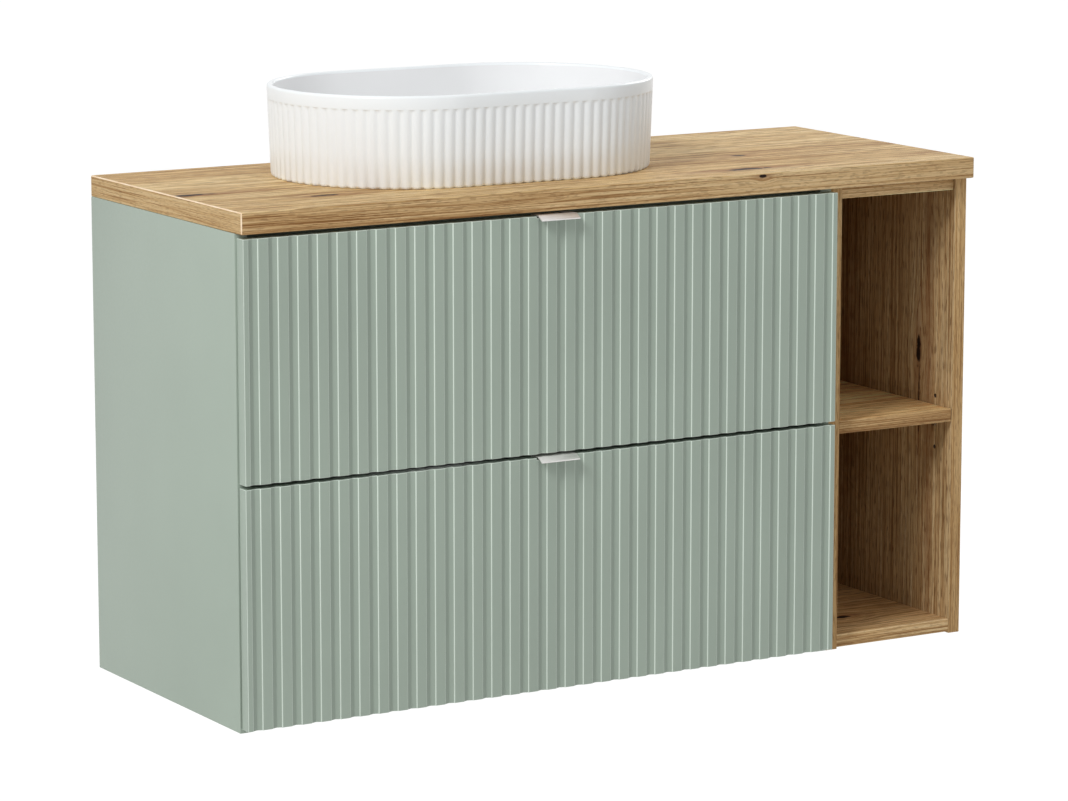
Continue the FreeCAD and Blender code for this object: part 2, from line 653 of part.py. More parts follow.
def drawer(name, front_bottom, box_height, notched):
    """One drawer: front with its pull, sides, back and bottom, and a liner if it is notched for the trap."""
    low = front_bottom + BOX_RISE
    high = low + box_height
    back = FRONT_BACK + RUNNER_LENGTH
    floor = low + BOTTOM_INSET
    parts[name + "_front"] = drawer_front(front_bottom)
    parts[name + "_pull"] = edge_pull(front_bottom)
    groove = box(BOX_LEFT + BOARD - GROOVE_DEPTH, BOX_RIGHT - BOARD + GROOVE_DEPTH, FRONT_BACK, back,
                 floor - GROOVE_PLAY, floor + DRAWER_BOTTOM)
    parts[name + "_side_left"] = box(BOX_LEFT, BOX_LEFT + BOARD, FRONT_BACK, back, low, high).cut(groove)
    parts[name + "_side_right"] = box(BOX_RIGHT - BOARD, BOX_RIGHT, FRONT_BACK, back, low, high).cut(groove)
    reach = GROOVE_DEPTH - GROOVE_PLAY
    bottom = box(BOX_LEFT + BOARD - reach, BOX_RIGHT - BOARD + reach, FRONT_BACK, back,
                 floor, floor + DRAWER_BOTTOM)
    board = box(BOX_LEFT + BOARD, BOX_RIGHT - BOARD, back - BOARD, back, floor + DRAWER_BOTTOM, high)
    if not notched:
        parts[name + "_bottom"] = bottom
        parts[name + "_back"] = board
        return
    base = floor + DRAWER_BOTTOM
    parts[name + "_bottom"] = bottom.cut(trap_notch(NOTCH_REACH, floor, base))
    halves = board.cut(trap_notch(NOTCH_REACH + LINER_WALL, base, high)).Solids
    halves.sort(key=lambda half: half.CenterOfMass.x)
    parts[name + "_back_left"], parts[name + "_back_right"] = halves
    lined = trap_notch(NOTCH_REACH + LINER_WALL, base, base + LINER_HEIGHT)
    behind = box(LEFT, RIGHT, back, 0, base, base + LINER_HEIGHT)
    parts[name + "_trap_liner"] = lined.cut(trap_notch(NOTCH_REACH, base, base + LINER_HEIGHT).fuse(behind))


# Runners


def channel(web, lips, height, lip):
    """Section of a folded channel from its web to the ends of its flanges, which may have inturned lips."""
    turn = math.copysign(RUNNER_SHEET, lips - web)
    top = height / 2
    half = [(web, top), (lips, top), (lips, top - RUNNER_SHEET), (web + turn, top - RUNNER_SHEET)]
    if lip:
        half[2:3] = [(lips, top - lip), (lips - turn, top - lip), (lips - turn, top - RUNNER_SHEET)]
    return half + [(out, -up) for out, up in reversed(half)]


def runner(name, front_bottom, wall, side, label):
    """One telescopic runner: cabinet member, middle member and drawer member."""
    middle = front_bottom + RUNNER_RISE
    members = {
        "cabinet": channel(0.0, CABINET_MEMBER_REACH, CABINET_MEMBER_HEIGHT, RUNNER_LIP),
        "middle": channel(MIDDLE_MEMBER_START, MIDDLE_MEMBER_REACH, MIDDLE_MEMBER_HEIGHT, 0),
        "drawer": channel(RUNNER_WIDTH, DRAWER_MEMBER_START, DRAWER_MEMBER_HEIGHT, 0),
    }
    for member, section in members.items():
        points = [V(wall + side * out, RUNNER_FRONT, middle + up) for out, up in section]
        face = Part.Face(Part.makePolygon(points + points[:1]))
        parts[name + "_runner_" + member + "_member_" + label] = face.extrude(V(0, RUNNER_LENGTH, 0))


def ball_cages(front_bottom):
    """Strips in the races of both runners: the outer pair at the back, the inner pair at the front."""
    middle = front_bottom + RUNNER_RISE
    outer = (MIDDLE_MEMBER_HEIGHT / 2, CABINET_MEMBER_HEIGHT / 2 - RUNNER_SHEET - CAGE_PLAY)
    inner = (DRAWER_MEMBER_HEIGHT / 2 + CAGE_PLAY, MIDDLE_MEMBER_HEIGHT / 2 - RUNNER_SHEET)
    strips = []
    for wall, side in ((INNER_LEFT, 1), (INNER_RIGHT, -1)):
        x0, x1 = sorted((wall + side * CAGE_START, wall + side * CAGE_END))
        for sign in (1, -1):
            low, high = sorted((middle + sign * outer[0], middle + sign * outer[1]))
            strips.append(box(x0, x1, RUNNER_BACK - CAGE_LENGTH, RUNNER_BACK, low, high))
            low, high = sorted((middle + sign * inner[0], middle + sign * inner[1]))
            strips.append(box(x0, x1, RUNNER_FRONT, RUNNER_FRONT + CAGE_LENGTH, low, high))
    return strips


# The whole


def build():
    """Every piece in its place."""
    carcass()
    shelf_unit()
    parts["worktop"] = worktop()
    parts["basin"] = basin()
    parts["waste_body"] = waste_body()
    parts["waste_plug"] = waste_plug()
    parts["waste_lock_nut"] = waste_nut()
    parts["trap_collar_nuts"] = Part.makeCompound(collar_nuts())
    parts["trap_inlet_tube"] = trap_inlet_tube()
    parts["trap_body"] = trap_body()
    parts["trap_cup"] = trap_cup()
    parts["outlet_pipe"] = outlet_pipe()
    ends = ((INNER_LEFT, 1), (INNER_RIGHT, -1))
    parts["cabinet_hangers"] = Part.makeCompound([hanger(wall, side) for wall, side in ends])
    parts["wall_plates"] = Part.makeCompound([wall_plate(wall, side) for wall, side in ends])
    drawer("lower_drawer", LOWER_FRONT_BOTTOM, LOWER_BOX_HEIGHT, False)
    drawer("upper_drawer", UPPER_FRONT_BOTTOM, UPPER_BOX_HEIGHT, True)
    for name, front_bottom in (("lower", LOWER_FRONT_BOTTOM), ("upper", UPPER_FRONT_BOTTOM)):
        runner(name, front_bottom, INNER_LEFT, 1, "left")
        runner(name, front_bottom, INNER_RIGHT, -1, "right")
        parts[name + "_runner_ball_cages"] = Part.makeCompound(ball_cages(front_bottom))


build()
os.makedirs("parts", exist_ok=True)
for node, shape in parts.items():
    shape.exportStep("parts/" + node + ".step")
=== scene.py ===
import json
import math

import bmesh
import bpy
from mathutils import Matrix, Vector


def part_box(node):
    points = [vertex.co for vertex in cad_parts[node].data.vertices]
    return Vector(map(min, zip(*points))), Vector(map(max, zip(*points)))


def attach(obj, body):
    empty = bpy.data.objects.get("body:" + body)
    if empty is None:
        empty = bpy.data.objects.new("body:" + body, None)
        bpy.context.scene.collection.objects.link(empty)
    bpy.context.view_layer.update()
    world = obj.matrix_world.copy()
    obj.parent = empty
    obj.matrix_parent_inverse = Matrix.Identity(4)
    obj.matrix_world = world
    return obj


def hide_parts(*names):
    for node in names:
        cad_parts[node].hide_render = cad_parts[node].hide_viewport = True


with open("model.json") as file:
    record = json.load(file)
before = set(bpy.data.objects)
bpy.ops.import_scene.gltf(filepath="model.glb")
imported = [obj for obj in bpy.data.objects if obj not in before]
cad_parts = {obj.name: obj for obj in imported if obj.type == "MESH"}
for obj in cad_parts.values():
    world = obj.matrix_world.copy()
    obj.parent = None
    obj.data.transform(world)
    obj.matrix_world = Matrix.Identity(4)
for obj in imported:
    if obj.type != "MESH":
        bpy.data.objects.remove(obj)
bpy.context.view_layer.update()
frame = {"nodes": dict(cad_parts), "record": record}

# Sizes are in millimetres and colours are 0-255 values, unless a comment says otherwise

# Oak from dark to pale, its pores, a knot's halo and eye, a pale line painted on edges as a highlight, and a
# dark brown painted as shade inside a bored hole
OAK_DARK, OAK_MID = (142, 103, 62), (186, 149, 101)
OAK_LIGHT, OAK_PALE = (212, 180, 131), (229, 203, 158)
OAK_PORE, KNOT_HALO, KNOT_EYE = (112, 76, 43), (132, 80, 42), (34, 20, 12)
EDGE_HIGHLIGHT_LOW, EDGE_HIGHLIGHT_HIGH = (240, 208, 168), (255, 236, 208)
BORE_PAINTED_SHADE = (74, 54, 38)
# Lacquer on faces, a lighter lacquer on edges as painted highlight, and how much darker it is in the grooves
# as painted shade
SAGE, SAGE_HIGHLIGHT = (165, 179, 166), (216, 228, 217)
GROOVE_PAINTED_SHADE = 0.965
# Glaze inside and outside the basin: one glaze in two tones, the bowl darker as painted shade, the outside
# lighter as painted light
GLAZE_BOWL_PAINTED_SHADE, GLAZE_WALL_PAINTED_LIGHT = (241, 242, 243), (248, 252, 254)
ANODISED, ZINC = (236, 234, 232), (176, 180, 184)
CHROME, NICKEL = (226, 228, 231), (196, 190, 180)
BOARD_GREY = (198, 200, 198)
MOULDED_GREY, MOULDED_DARK = (150, 152, 152), (52, 54, 56)
FLOOR_PALE, FLOOR_SHADE = (222, 222, 221), (218, 218, 217)

# The tone at which each oak colour stands, and how strongly a knot's halo covers it
OAK_TONES = ((0.16, OAK_DARK), (0.38, OAK_MID), (0.6, OAK_LIGHT), (0.84, OAK_PALE))
HALO_STRENGTH = 0.66
# The oak's heart beside a board, across its grain in metres, and how its rings run
HEART = (0, -0.13, 0.31)
RINGS_A_METRE, RING_WANDER = 190, 4.0
# Markings to the metre across the grain, and how far each kind changes the tone
BROADS, STREAKS, LINES, PORES = 20, 120, 380, 750
BROAD_TONE, STREAK_TONE, LINE_TONE, LATE_TONE, PLAIN_TONE = 0.22, 0.24, 0.42, -0.12, 0.38
# How far a knot bends the grain and how far it stains it, as shares of its length and its width
KNOT_PULL, KNOT_STAIN = (1.3, 2.4), (2.2, 1.5)
GRAIN_BEND = (0.0, 0.8, 0.8)

# Each knot and stain: its place, its length along the grain and its width
WORKTOP_KNOTS = (((-492, -225, 595), 84, 12), ((-346, -303, 595), 34, 10), ((193, -345, 595), 66, 13),
                 ((120, -60, 595), 24, 10), ((262, -228, 595), 20, 9))
FRONT_KNOTS = (((190, -390, 592), 10, 4), ((376, -297, 21), 24, 12))
PANEL_KNOTS = (((484, -301, 346), 44, 8), ((484, -303, 300), 96, 2.4))
WORKTOP_STAINS = (((-440, -226, 595), 300, 22), ((-100, -340, 595), 300, 16), ((190, -243, 595), 460, 18),
                  ((350, -150, 595), 300, 12))
PANEL_STAINS = (((484, -318, 430), 460, 22), ((484, -326, 130), 300, 22), ((484, -322, 330), 700, 30),
                ((484, -150, 300), 620, 70))


def mm(*values):
    """Millimetres as metres: one number, or a vector of three."""
    return values[0] / 1000 if len(values) == 1 else Vector(values) / 1000


def rgb(colour):
    """A 0-255 colour as the linear colour that a shader takes."""
    def linear(v):
        v /= 255
        return v / 12.92 if v <= 0.04045 else ((v + 0.055) / 1.055) ** 2.4
    return (*(linear(v) for v in colour), 1.0)


# Finishes ---------------------------------------------------------------------------------------

class Finish:
    """A material and a short way to lay out its nodes."""

    def __init__(self, name, **shader):
        self.material = bpy.data.materials.new(name)
        self.material.use_nodes = True
        self.tree = self.material.node_tree
        self.shader = self.tree.nodes["Principled BSDF"]
        for socket, value in shader.items():
            self.shader.inputs[socket.replace("_", " ")].default_value = value
        self.place = self.node("TexCoord").outputs["Object"]

    def node(self, kind, *inputs, **settings):
        """Adds a node with its settings, and fills its sockets in order with values or other outputs."""
        made = self.tree.nodes.new("ShaderNode" + kind)
        for name, value in settings.items():
            setattr(made, name, value)
        for socket, value in zip(made.inputs, inputs):
            if value is not None:
                self.fill(socket, value)
        return made

    def fill(self, socket, value):
        """Links an output to a socket, or sets the socket to a value."""
        if isinstance(value, bpy.types.NodeSocket):
            self.tree.links.new(value, socket)
        else:
            socket.default_value = value

    def sum(self, a, b, kind="ADD"):
        """Two values added, or put together as another kind of Math node does."""
        return self.node("Math", a, b, operation=kind).outputs[0]

    def times(self, a, b):
        return self.sum(a, b, "MULTIPLY")

    def vector(self, kind, a, b):
        return self.node("VectorMath", a, b, operation=kind).outputs[0]

    def length(self, a):
        return self.node("VectorMath", a, operation="LENGTH").outputs["Value"]

    def noise(self, scale, detail=2.0, roughness=0.5, at=None, stretch=None):
        """Noise of so many waves a metre, from 0 to 1; stretch scales the place first."""
        at = at or self.place
        if stretch:
            at = self.vector("MULTIPLY", at, stretch)
        return self.node("TexNoise", at, None, scale, detail, roughness).outputs[0]

    def spread(self, value, low, high, to_low=0.0, to_high=1.0):
        """Value from low..high laid over to_low..to_high, and held there outside."""
        return self.node("MapRange", value, low, high, to_low, to_high).outputs[0]

    def ramp(self, value, *stops):
        """Colour by value; each stop is a place and a 0-255 colour."""
        made = self.node("ValToRGB", value)
        elements = made.color_ramp.elements
        while len(elements) < len(stops):
            elements.new(1.0)
        for element, (place, colour) in zip(elements, stops):
            element.position, element.color = place, rgb(colour)
        return made.outputs[0]

    def mix(self, share, a, b):
        """Colour a turned to colour b by a share."""
        made = self.tree.nodes.new("ShaderNodeMix")
        made.data_type = "RGBA"
        for socket, value in ((made.inputs[0], share), (made.inputs[6], a), (made.inputs[7], b)):
            self.fill(socket, value)
        return made.outputs[2]

    def bump(self, height, strength, distance):
        """Raises the surface by height, over a distance in metres."""
        made = self.node("Bump")
        made.inputs["Strength"].default_value = strength
        made.inputs["Distance"].default_value = distance
        self.fill(made.inputs["Height"], height)
        self.fill(self.shader.inputs["Normal"], made.outputs[0])

    def coat(self, base, roughness=None):
        """Gives the shader its colour and roughness, and returns the material."""
        self.fill(self.shader.inputs["Base Color"], base)
        if roughness is not None:
            self.fill(self.shader.inputs["Roughness"], roughness)
        return self.material


def oak(name, along, knots=(), stains=(), tint=(1, 1, 1), contrast=1.3, fineness=1.0, pores=0.65):
    """Oak with its grain along an axis, bent round each knot; tint colours the whole board."""
    wood = Finish(name, Specular_IOR_Level=0.14)
    order = {"X": (0, 1, 2), "Y": (1, 2, 0), "Z": (2, 0, 1)}[along]
    parts = wood.node("SeparateXYZ", wood.place).outputs
    grain = wood.node("CombineXYZ", *(parts[k] for k in order)).outputs[0]
    wobble = wood.noise(90, 3, at=grain)

    def offset(place):
        return wood.vector("SUBTRACT", grain, [mm(place[k]) for k in order])

    def reach(off, length, width):
        """How far off a place is, as a share of a length along the grain and a width across it."""
        return wood.length(wood.vector("DIVIDE", off, mm(length, width, width)))

    def most(so_far, one):
        return one if so_far is None else wood.sum(so_far, one, "MAXIMUM")

    def tinted(hue):
        return [min(255, v * t) for v, t in zip(hue, tint)]

    eye = halo = None
    bent = grain
    for place, length, width in knots:
        off = offset(place)
        near = reach(off, length * KNOT_PULL[0], width * KNOT_PULL[1])
        pull = wood.sum(math.e, wood.times(wood.times(near, near), -1.0), "POWER")
        aside = wood.node("VectorMath", wood.vector("MULTIPLY", off, GRAIN_BEND), operation="SCALE")
        wood.fill(aside.inputs["Scale"], pull)
        bent = wood.vector("SUBTRACT", bent, aside.outputs[0])
        inside = wood.sum(reach(off, length / 2, width / 2), wood.spread(wobble, 0.3, 0.7, -0.4, 0.4))
        stain = reach(off, length * KNOT_STAIN[0], width * KNOT_STAIN[1])
        eye = most(eye, wood.spread(inside, 0.8, 1.15, 1.0, 0.0))
        halo = most(halo, wood.spread(stain, 0.2, 1.0, 1.0, 0.0))
    for place, length, width in stains:
        stain = wood.sum(reach(offset(place), length / 2, width / 2), wood.spread(wobble, 0.3, 0.7, -0.2, 0.2))
        halo = most(halo, wood.spread(stain, 0.1, 1.0, 0.8, 0.0))
    # Growth rings round a heart that lies outside the board, each dark late in its year
    heart = wood.length(wood.vector("MULTIPLY", wood.vector("SUBTRACT", bent, HEART), (0, 1, 1)))
    wander = wood.noise(7, 3, 0.55, bent, (0.22, 1, 1))
    rings = wood.sum(wood.times(heart, RINGS_A_METRE), wood.times(wander, RING_WANDER))
    late = wood.spread(wood.sum(rings, 0.0, "FRACT"), 0.3, 0.95)
    broad = wood.spread(wood.noise(BROADS, 2, 0.5, bent, (0.07, 1, 1)), 0.3, 0.7)
    streak = wood.noise(STREAKS * fineness, 5, 0.68, bent, (0.02 / fineness, 1, 1))
    streak = wood.spread(streak, 0.34, 0.66)
    line = wood.noise(LINES * fineness, 3, 0.7, bent, (0.018 / fineness, 1, 1))
    line = wood.spread(line, 0.34, 0.66)
    pore = wood.spread(wood.noise(PORES, 1, 0.4, bent, (0.05 * fineness, 1, 1)), 0.55, 0.62)
    tone = wood.sum(wood.times(broad, BROAD_TONE), wood.times(streak, STREAK_TONE))
    tone = wood.sum(tone, wood.times(line, LINE_TONE))
    tone = wood.sum(tone, wood.times(late, LATE_TONE))
    tone = wood.sum(wood.times(wood.sum(tone, -PLAIN_TONE), contrast), 0.5)
    colour = wood.ramp(tone, *((stop, tinted(hue)) for stop, hue in OAK_TONES))
    colour = wood.mix(wood.times(pore, pores), colour, rgb(tinted(OAK_PORE)))
    if halo is not None:
        colour = wood.mix(wood.times(halo, HALO_STRENGTH), colour, rgb(tinted(KNOT_HALO)))
    if eye is not None:
        colour = wood.mix(eye, colour, rgb(KNOT_EYE))
    wood.bump(wood.sum(wood.times(pore, -0.7), wood.times(line, 0.4)), 0.4, 0.0004)
    return wood.coat(colour, wood.spread(streak, 0, 1, 0.66, 0.52))


def edge_highlight(name):
    """A pale line painted on an oak board's eased edges: a painted highlight."""
    edge = Finish(name, Specular_IOR_Level=0.3)
    grain = edge.spread(edge.noise(160, 3, stretch=(0.1, 0.3, 1)), 0.3, 0.7)
    edge.bump(grain, 0.1, 0.0002)
    return edge.coat(edge.mix(grain, rgb(EDGE_HIGHLIGHT_LOW), rgb(EDGE_HIGHLIGHT_HIGH)), edge.spread(grain, 0, 1, 0.45, 0.55))


def lacquer(name, colour, roughness):
    """Matt sprayed lacquer: a faint cloud in the colour, and a fine orange peel."""
    paint = Finish(name, Specular_IOR_Level=0.5)
    cloud = paint.noise(5, 3)
    colour = paint.mix(paint.spread(cloud, 0.3, 0.7), rgb([v * 0.985 for v in colour]),
                       rgb([v * 1.015 for v in colour]))
    paint.bump(paint.sum(paint.noise(900, 2), paint.times(paint.noise(90, 2), 0.6)), 0.06, 0.0002)
    sheen = paint.spread(paint.noise(240, 3), 0.3, 0.7, roughness - 0.03, roughness + 0.04)
    return paint.coat(colour, sheen)


def glazed(name, colour):
    """White glaze, satin, with the slow unevenness of a fired surface."""
    glaze = Finish(name, Coat_Weight=0.25, Coat_Roughness=0.18)
    pool = glaze.noise(9, 3)
    colour = glaze.mix(glaze.spread(pool, 0.3, 0.7), rgb(colour), rgb([v - 3 for v in colour]))
    glaze.bump(glaze.sum(glaze.noise(55, 2), glaze.times(glaze.noise(700, 2), 0.2)), 0.05, 0.0006)
    return glaze.coat(colour, glaze.spread(glaze.noise(160, 3), 0.3, 0.7, 0.32, 0.42))


def metal(name, colour, roughness, stretch=(1, 1, 1), grain=900, depth=0.15):
    """Bare or plated metal; stretch draws its brushing or its crystals out along an axis."""
    plate = Finish(name, Metallic=1.0)
    lines = plate.noise(grain, 3, 0.6, stretch=stretch)
    tone = plate.mix(plate.spread(lines, 0.3, 0.7), rgb([v * 0.93 for v in colour]), rgb(colour))
    plate.bump(lines, depth, 0.0001)
    return plate.coat(tone, plate.spread(lines, 0.3, 0.7, roughness * 0.85, roughness * 1.2))


def moulded(name, colour, roughness=0.5):
    """Moulded plastic, rubber or bare board, with a fine grain."""
    plastic = Finish(name)
    tone = plastic.mix(plastic.spread(plastic.noise(30, 3), 0.3, 0.7), rgb([v * 0.96 for v in colour]),
                       rgb([min(255, v * 1.04) for v in colour]))
    plastic.bump(plastic.noise(1800, 2), 0.12, 0.0001)
    sheen = plastic.spread(plastic.noise(400, 2), 0.3, 0.7, roughness - 0.05, roughness + 0.06)
    return plastic.coat(tone, sheen)


OAK_TOP = oak("oak_worktop_face", "X", WORKTOP_KNOTS, WORKTOP_STAINS, tint=(1.04, 1.05, 1.04), contrast=1.5)
OAK_SHELF = oak("oak_shelf_face", "X", FRONT_KNOTS, tint=(1.05, 1.03, 1.02))
OAK_SHELF_PALE = oak("oak_shelf_face_pale", "X", tint=(1.25, 1.23, 1.22), contrast=1.2)
OAK_LONG = oak("oak_grain_along", "X", FRONT_KNOTS[:1], tint=(0.99, 0.97, 0.95), contrast=1.8,
               fineness=3.0, pores=0.3)
OAK_UPRIGHT = oak("oak_grain_upright", "Z", PANEL_KNOTS, PANEL_STAINS, tint=(0.9, 0.89, 0.89), contrast=1.3,
                  fineness=1.4)
OAK_UPRIGHT_EDGE = oak("oak_upright_edge", "Z", tint=(0.94, 0.9, 0.85), contrast=1.5, fineness=2.3, pores=0.35)
OAK_BANDING = oak("oak_end_banding", "Y", tint=(0.92, 0.9, 0.87), contrast=1.8, fineness=2.8, pores=0.3)
OAK_EDGE_HIGHLIGHT = edge_highlight("oak_edge_painted_highlight")
BORE_SHADE_FINISH = moulded("bored_board_painted_shade", BORE_PAINTED_SHADE, roughness=0.8)
SAGE_LACQUER = lacquer("sage_lacquer_matt", SAGE, roughness=0.42)
# A lighter lacquer on arrises, lips and edges: a painted highlight
SAGE_ARRIS_HIGHLIGHT = lacquer("sage_lacquer_arris_highlight", SAGE_HIGHLIGHT, roughness=0.34)
# A darker lacquer in the grooves: painted shade
SAGE_GROOVE_SHADE = lacquer("sage_lacquer_groove_shade", [v * GROOVE_PAINTED_SHADE for v in SAGE], roughness=0.46)
BOWL_GLAZE_PAINTED_SHADE = glazed("bowl_glaze_painted_shade", GLAZE_BOWL_PAINTED_SHADE)
WALL_GLAZE_PAINTED_LIGHT = glazed("wall_glaze_painted_light", GLAZE_WALL_PAINTED_LIGHT)
PULL_METAL = metal("anodised_brushed", ANODISED, roughness=0.48, stretch=(0.02, 1, 1))
ZINC_STEEL = metal("zinc_plated_steel", ZINC, roughness=0.4, grain=160, depth=0.05)
BRIGHT_CHROME = metal("bright_chrome", CHROME, roughness=0.08, grain=40, depth=0.01)
NICKEL_PLATE = metal("nickel_plate", NICKEL, roughness=0.25, grain=500, depth=0.05)
DRAWER_BOARD = lacquer("faced_board_grey", BOARD_GREY, roughness=0.5)
GREY_MOULDING = moulded("grey_moulding", MOULDED_GREY)
DARK_MOULDING = moulded("dark_moulding", MOULDED_DARK)


# Bench tools ------------------------------------------------------------------------------------

X, Y, Z = range(3)
# Every finished piece has its main finish in the first slot; AS_BESIDE leaves an edge in its neighbours' slot
FACE_SLOT, AS_BESIDE = 0, -1
# Points this near each other are one, points this near a face are on it, and a tool cuts past by this much
JOINED, BESIDE, OVERCUT = 0.01, 0.1, 1.0
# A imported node's seams close within this, and faces that meet within this many degrees are one
SEAM, FLAT_WITHIN = 0.02, 0.5
BODY_OF = {node: body for body, nodes in frame["record"]["behaviour"]["bodies"].items() for node in nodes}


def deselect():
    """Leaves edit mode and drops everything that is picked."""
    if bpy.context.object and bpy.context.object.mode != "OBJECT":
        bpy.ops.object.mode_set(mode="OBJECT")
    bpy.ops.object.select_all(action="DESELECT")


def take_up(piece):
    """Makes piece the one being worked on."""
    deselect()
    piece.select_set(True)
    bpy.context.view_layer.objects.active = piece


def edit(piece):
    """Opens piece for editing with nothing picked."""
    take_up(piece)
    bpy.ops.object.mode_set(mode="EDIT")
    bpy.ops.mesh.select_all(action="DESELECT")


def pick(kind, test):
    """Picks the verts, edges or faces of the open piece that pass the test, and drops the rest."""
    piece = bpy.context.object
    bpy.ops.mesh.select_all(action="DESELECT")
    bpy.context.tool_settings.mesh_select_mode = [kind == k for k in ("verts", "edges", "faces")]
    mesh = bmesh.from_edit_mesh(piece.data)
    for item in getattr(mesh, kind):
        if test(item):
            item.select_set(True)
    bmesh.update_edit_mesh(piece.data)


def pick_all():
    bpy.ops.mesh.select_all(action="SELECT")


def draw_out(x, y, z):
    """Extrudes the picked edges of the open piece, in metres."""
    bpy.ops.mesh.extrude_edges_move(TRANSFORM_OT_translate={"value": (x, y, z)})


def face_outwards():
    """Turns every face of the open piece outwards, and ends its editing."""
    pick_all()
    bpy.ops.mesh.normals_make_consistent(inside=False)
    deselect()


def settle():
    """Takes the picked piece's size, turn and place into its mesh."""
    bpy.ops.object.transform_apply(location=True, rotation=True, scale=True)


def placed(name, data):
    """A new object in the scene."""
    thing = bpy.data.objects.new(name, data)
    bpy.context.scene.collection.objects.link(thing)
    return thing


def named(name):
    """The primitive just added, with its name and with its size and place in its mesh."""
    piece = bpy.context.object
    piece.name = piece.data.name = name
    settle()
    return piece


def blank(name, low, high):
    """A rectangular blank between two corners."""
    low, high = Vector(low), Vector(high)
    deselect()
    bpy.ops.mesh.primitive_cube_add(size=1, location=(low + high) / 2, scale=high - low)
    return named(name)


def dowel(name, radius, start, end, sides=48):
    """A round tool from start to end along one axis."""
    start, end = Vector(start), Vector(end)
    deselect()
    bpy.ops.mesh.primitive_cylinder_add(vertices=sides, radius=radius, depth=(end - start).length,
                                        location=(start + end) / 2,
                                        rotation=(end - start).to_track_quat("Z", "Y").to_euler())
    return named(name)


def work(piece, kind, **settings):
    """Puts a modifier on piece and applies it."""
    take_up(piece)
    modifier = piece.modifiers.new(kind.lower(), kind)
    for name, value in settings.items():
        setattr(modifier, name, value)
    bpy.ops.object.modifier_apply(modifier=modifier.name)


def repeat_across(piece, count, pitch):
    """Repeats piece along X with each copy joined to the last."""
    work(piece, "ARRAY", count=count, use_relative_offset=False, use_constant_offset=True,
         constant_offset_displace=(pitch, 0, 0), use_merge_vertices=True, merge_threshold=mm(JOINED))


def ease(piece, width, segments=2, angle=40, finish=AS_BESIDE):
    """Rounds every edge sharper than angle, and keeps the flats flat; finish is the rounding's slot."""
    take_up(piece)
    bpy.ops.object.shade_smooth()
    work(piece, "BEVEL", width=mm(width), segments=segments, limit_method="ANGLE",
         angle_limit=math.radians(angle), harden_normals=True, miter_outer="MITER_ARC", material=finish)


def smoothed(piece, angle=30):
    """Shades piece smooth but for its edges sharper than angle."""
    take_up(piece)
    bpy.ops.object.shade_smooth_by_angle(angle=math.radians(angle))


def cut(piece, tool, operation="DIFFERENCE"):
    """Takes the tool's shape out of piece, or adds it with UNION, and takes the tool away."""
    work(piece, "BOOLEAN", object=tool, operation=operation, solver="EXACT")
    bpy.data.objects.remove(tool)


def worked_copy(node):
    """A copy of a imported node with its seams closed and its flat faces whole."""
    piece = placed("finished_" + node, frame["nodes"][node].data.copy())
    edit(piece)
    pick_all()
    bpy.ops.mesh.remove_doubles(threshold=mm(SEAM))
    bpy.ops.mesh.dissolve_limited(angle_limit=math.radians(FLAT_WITHIN))
    deselect()
    return piece


def fit(piece, body, slot, finishes, *nodes):
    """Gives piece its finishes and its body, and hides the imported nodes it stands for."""
    slots = piece.data.materials
    for k, finish in enumerate(finishes if isinstance(finishes, (list, tuple)) else [finishes]):
        if k < len(slots):
            slots[k] = finish
        else:
            slots.append(finish)
    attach(piece, body)
    if nodes:
        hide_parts(*nodes)
    return piece


def finished(node, ease_width, slot, finish):
    """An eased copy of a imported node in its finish."""
    piece = worked_copy(node)
    ease(piece, ease_width)
    return fit(piece, BODY_OF[node], slot, finish, node)


def band(piece, axis, slot):
    """Puts the faces that look along an axis in a slot."""
    for face in piece.data.polygons:
        if abs(face.normal[axis]) > 0.9:
            face.material_index = slot


# Camera, light and floor ------------------------------------------------------------------------

# In metres and degrees; the lens and the sensor in millimetres
CAMERA_PLACE = (-2.672, -4.6824, 1.2384)
CAMERA_TURN, CAMERA_DIP, CAMERA_LENS, CAMERA_SENSOR = 30.69, 10.08, 147.93, 36
CAMERA_FAR = 60
# Each softbox has a place, a width and a height in metres, and a power in watts
LIT_POINT = (0, -0.2, 0.3)
SOFTBOXES = {
    "key_left": ((-3.05, -1.7, 3.1), 1.1, 1.3, 94),
    "fill_right": ((3.2, 1.3, 2.2), 1.6, 1.6, 46),
    "glint_front": ((0.5, -4.4, 1.0), 0.5, 2.4, 4),
}
WORLD_LIGHT, WORLD_SEEN = 0.47, 1.0
# The floor in metres, and the share and the strength of its own light where the camera sees it
FLOOR_BELOW, FLOOR_SIZE = 0.255, 40
FLOOR_SHARE, FLOOR_GLOW = 0.8, 1.17


def camera():
    """The camera, which frames the whole piece."""
    eye = placed("camera", bpy.data.cameras.new("camera"))
    eye.location = CAMERA_PLACE
    eye.rotation_euler = (math.radians(90 - CAMERA_DIP), 0, math.radians(-CAMERA_TURN))
    eye.data.lens = CAMERA_LENS
    eye.data.sensor_width = CAMERA_SENSOR
    eye.data.clip_end = CAMERA_FAR
    bpy.context.scene.camera = eye


def softbox(name, place, width, height, power):
    """A rectangular lamp that faces the lit point."""
    lamp = bpy.data.lights.new(name, "AREA")
    lamp.shape, lamp.size, lamp.size_y = "RECTANGLE", width, height
    lamp.energy = power
    box = placed(name, lamp)
    box.location = place
    box.rotation_euler = (Vector(LIT_POINT) - Vector(place)).to_track_quat("-Z", "Y").to_euler()


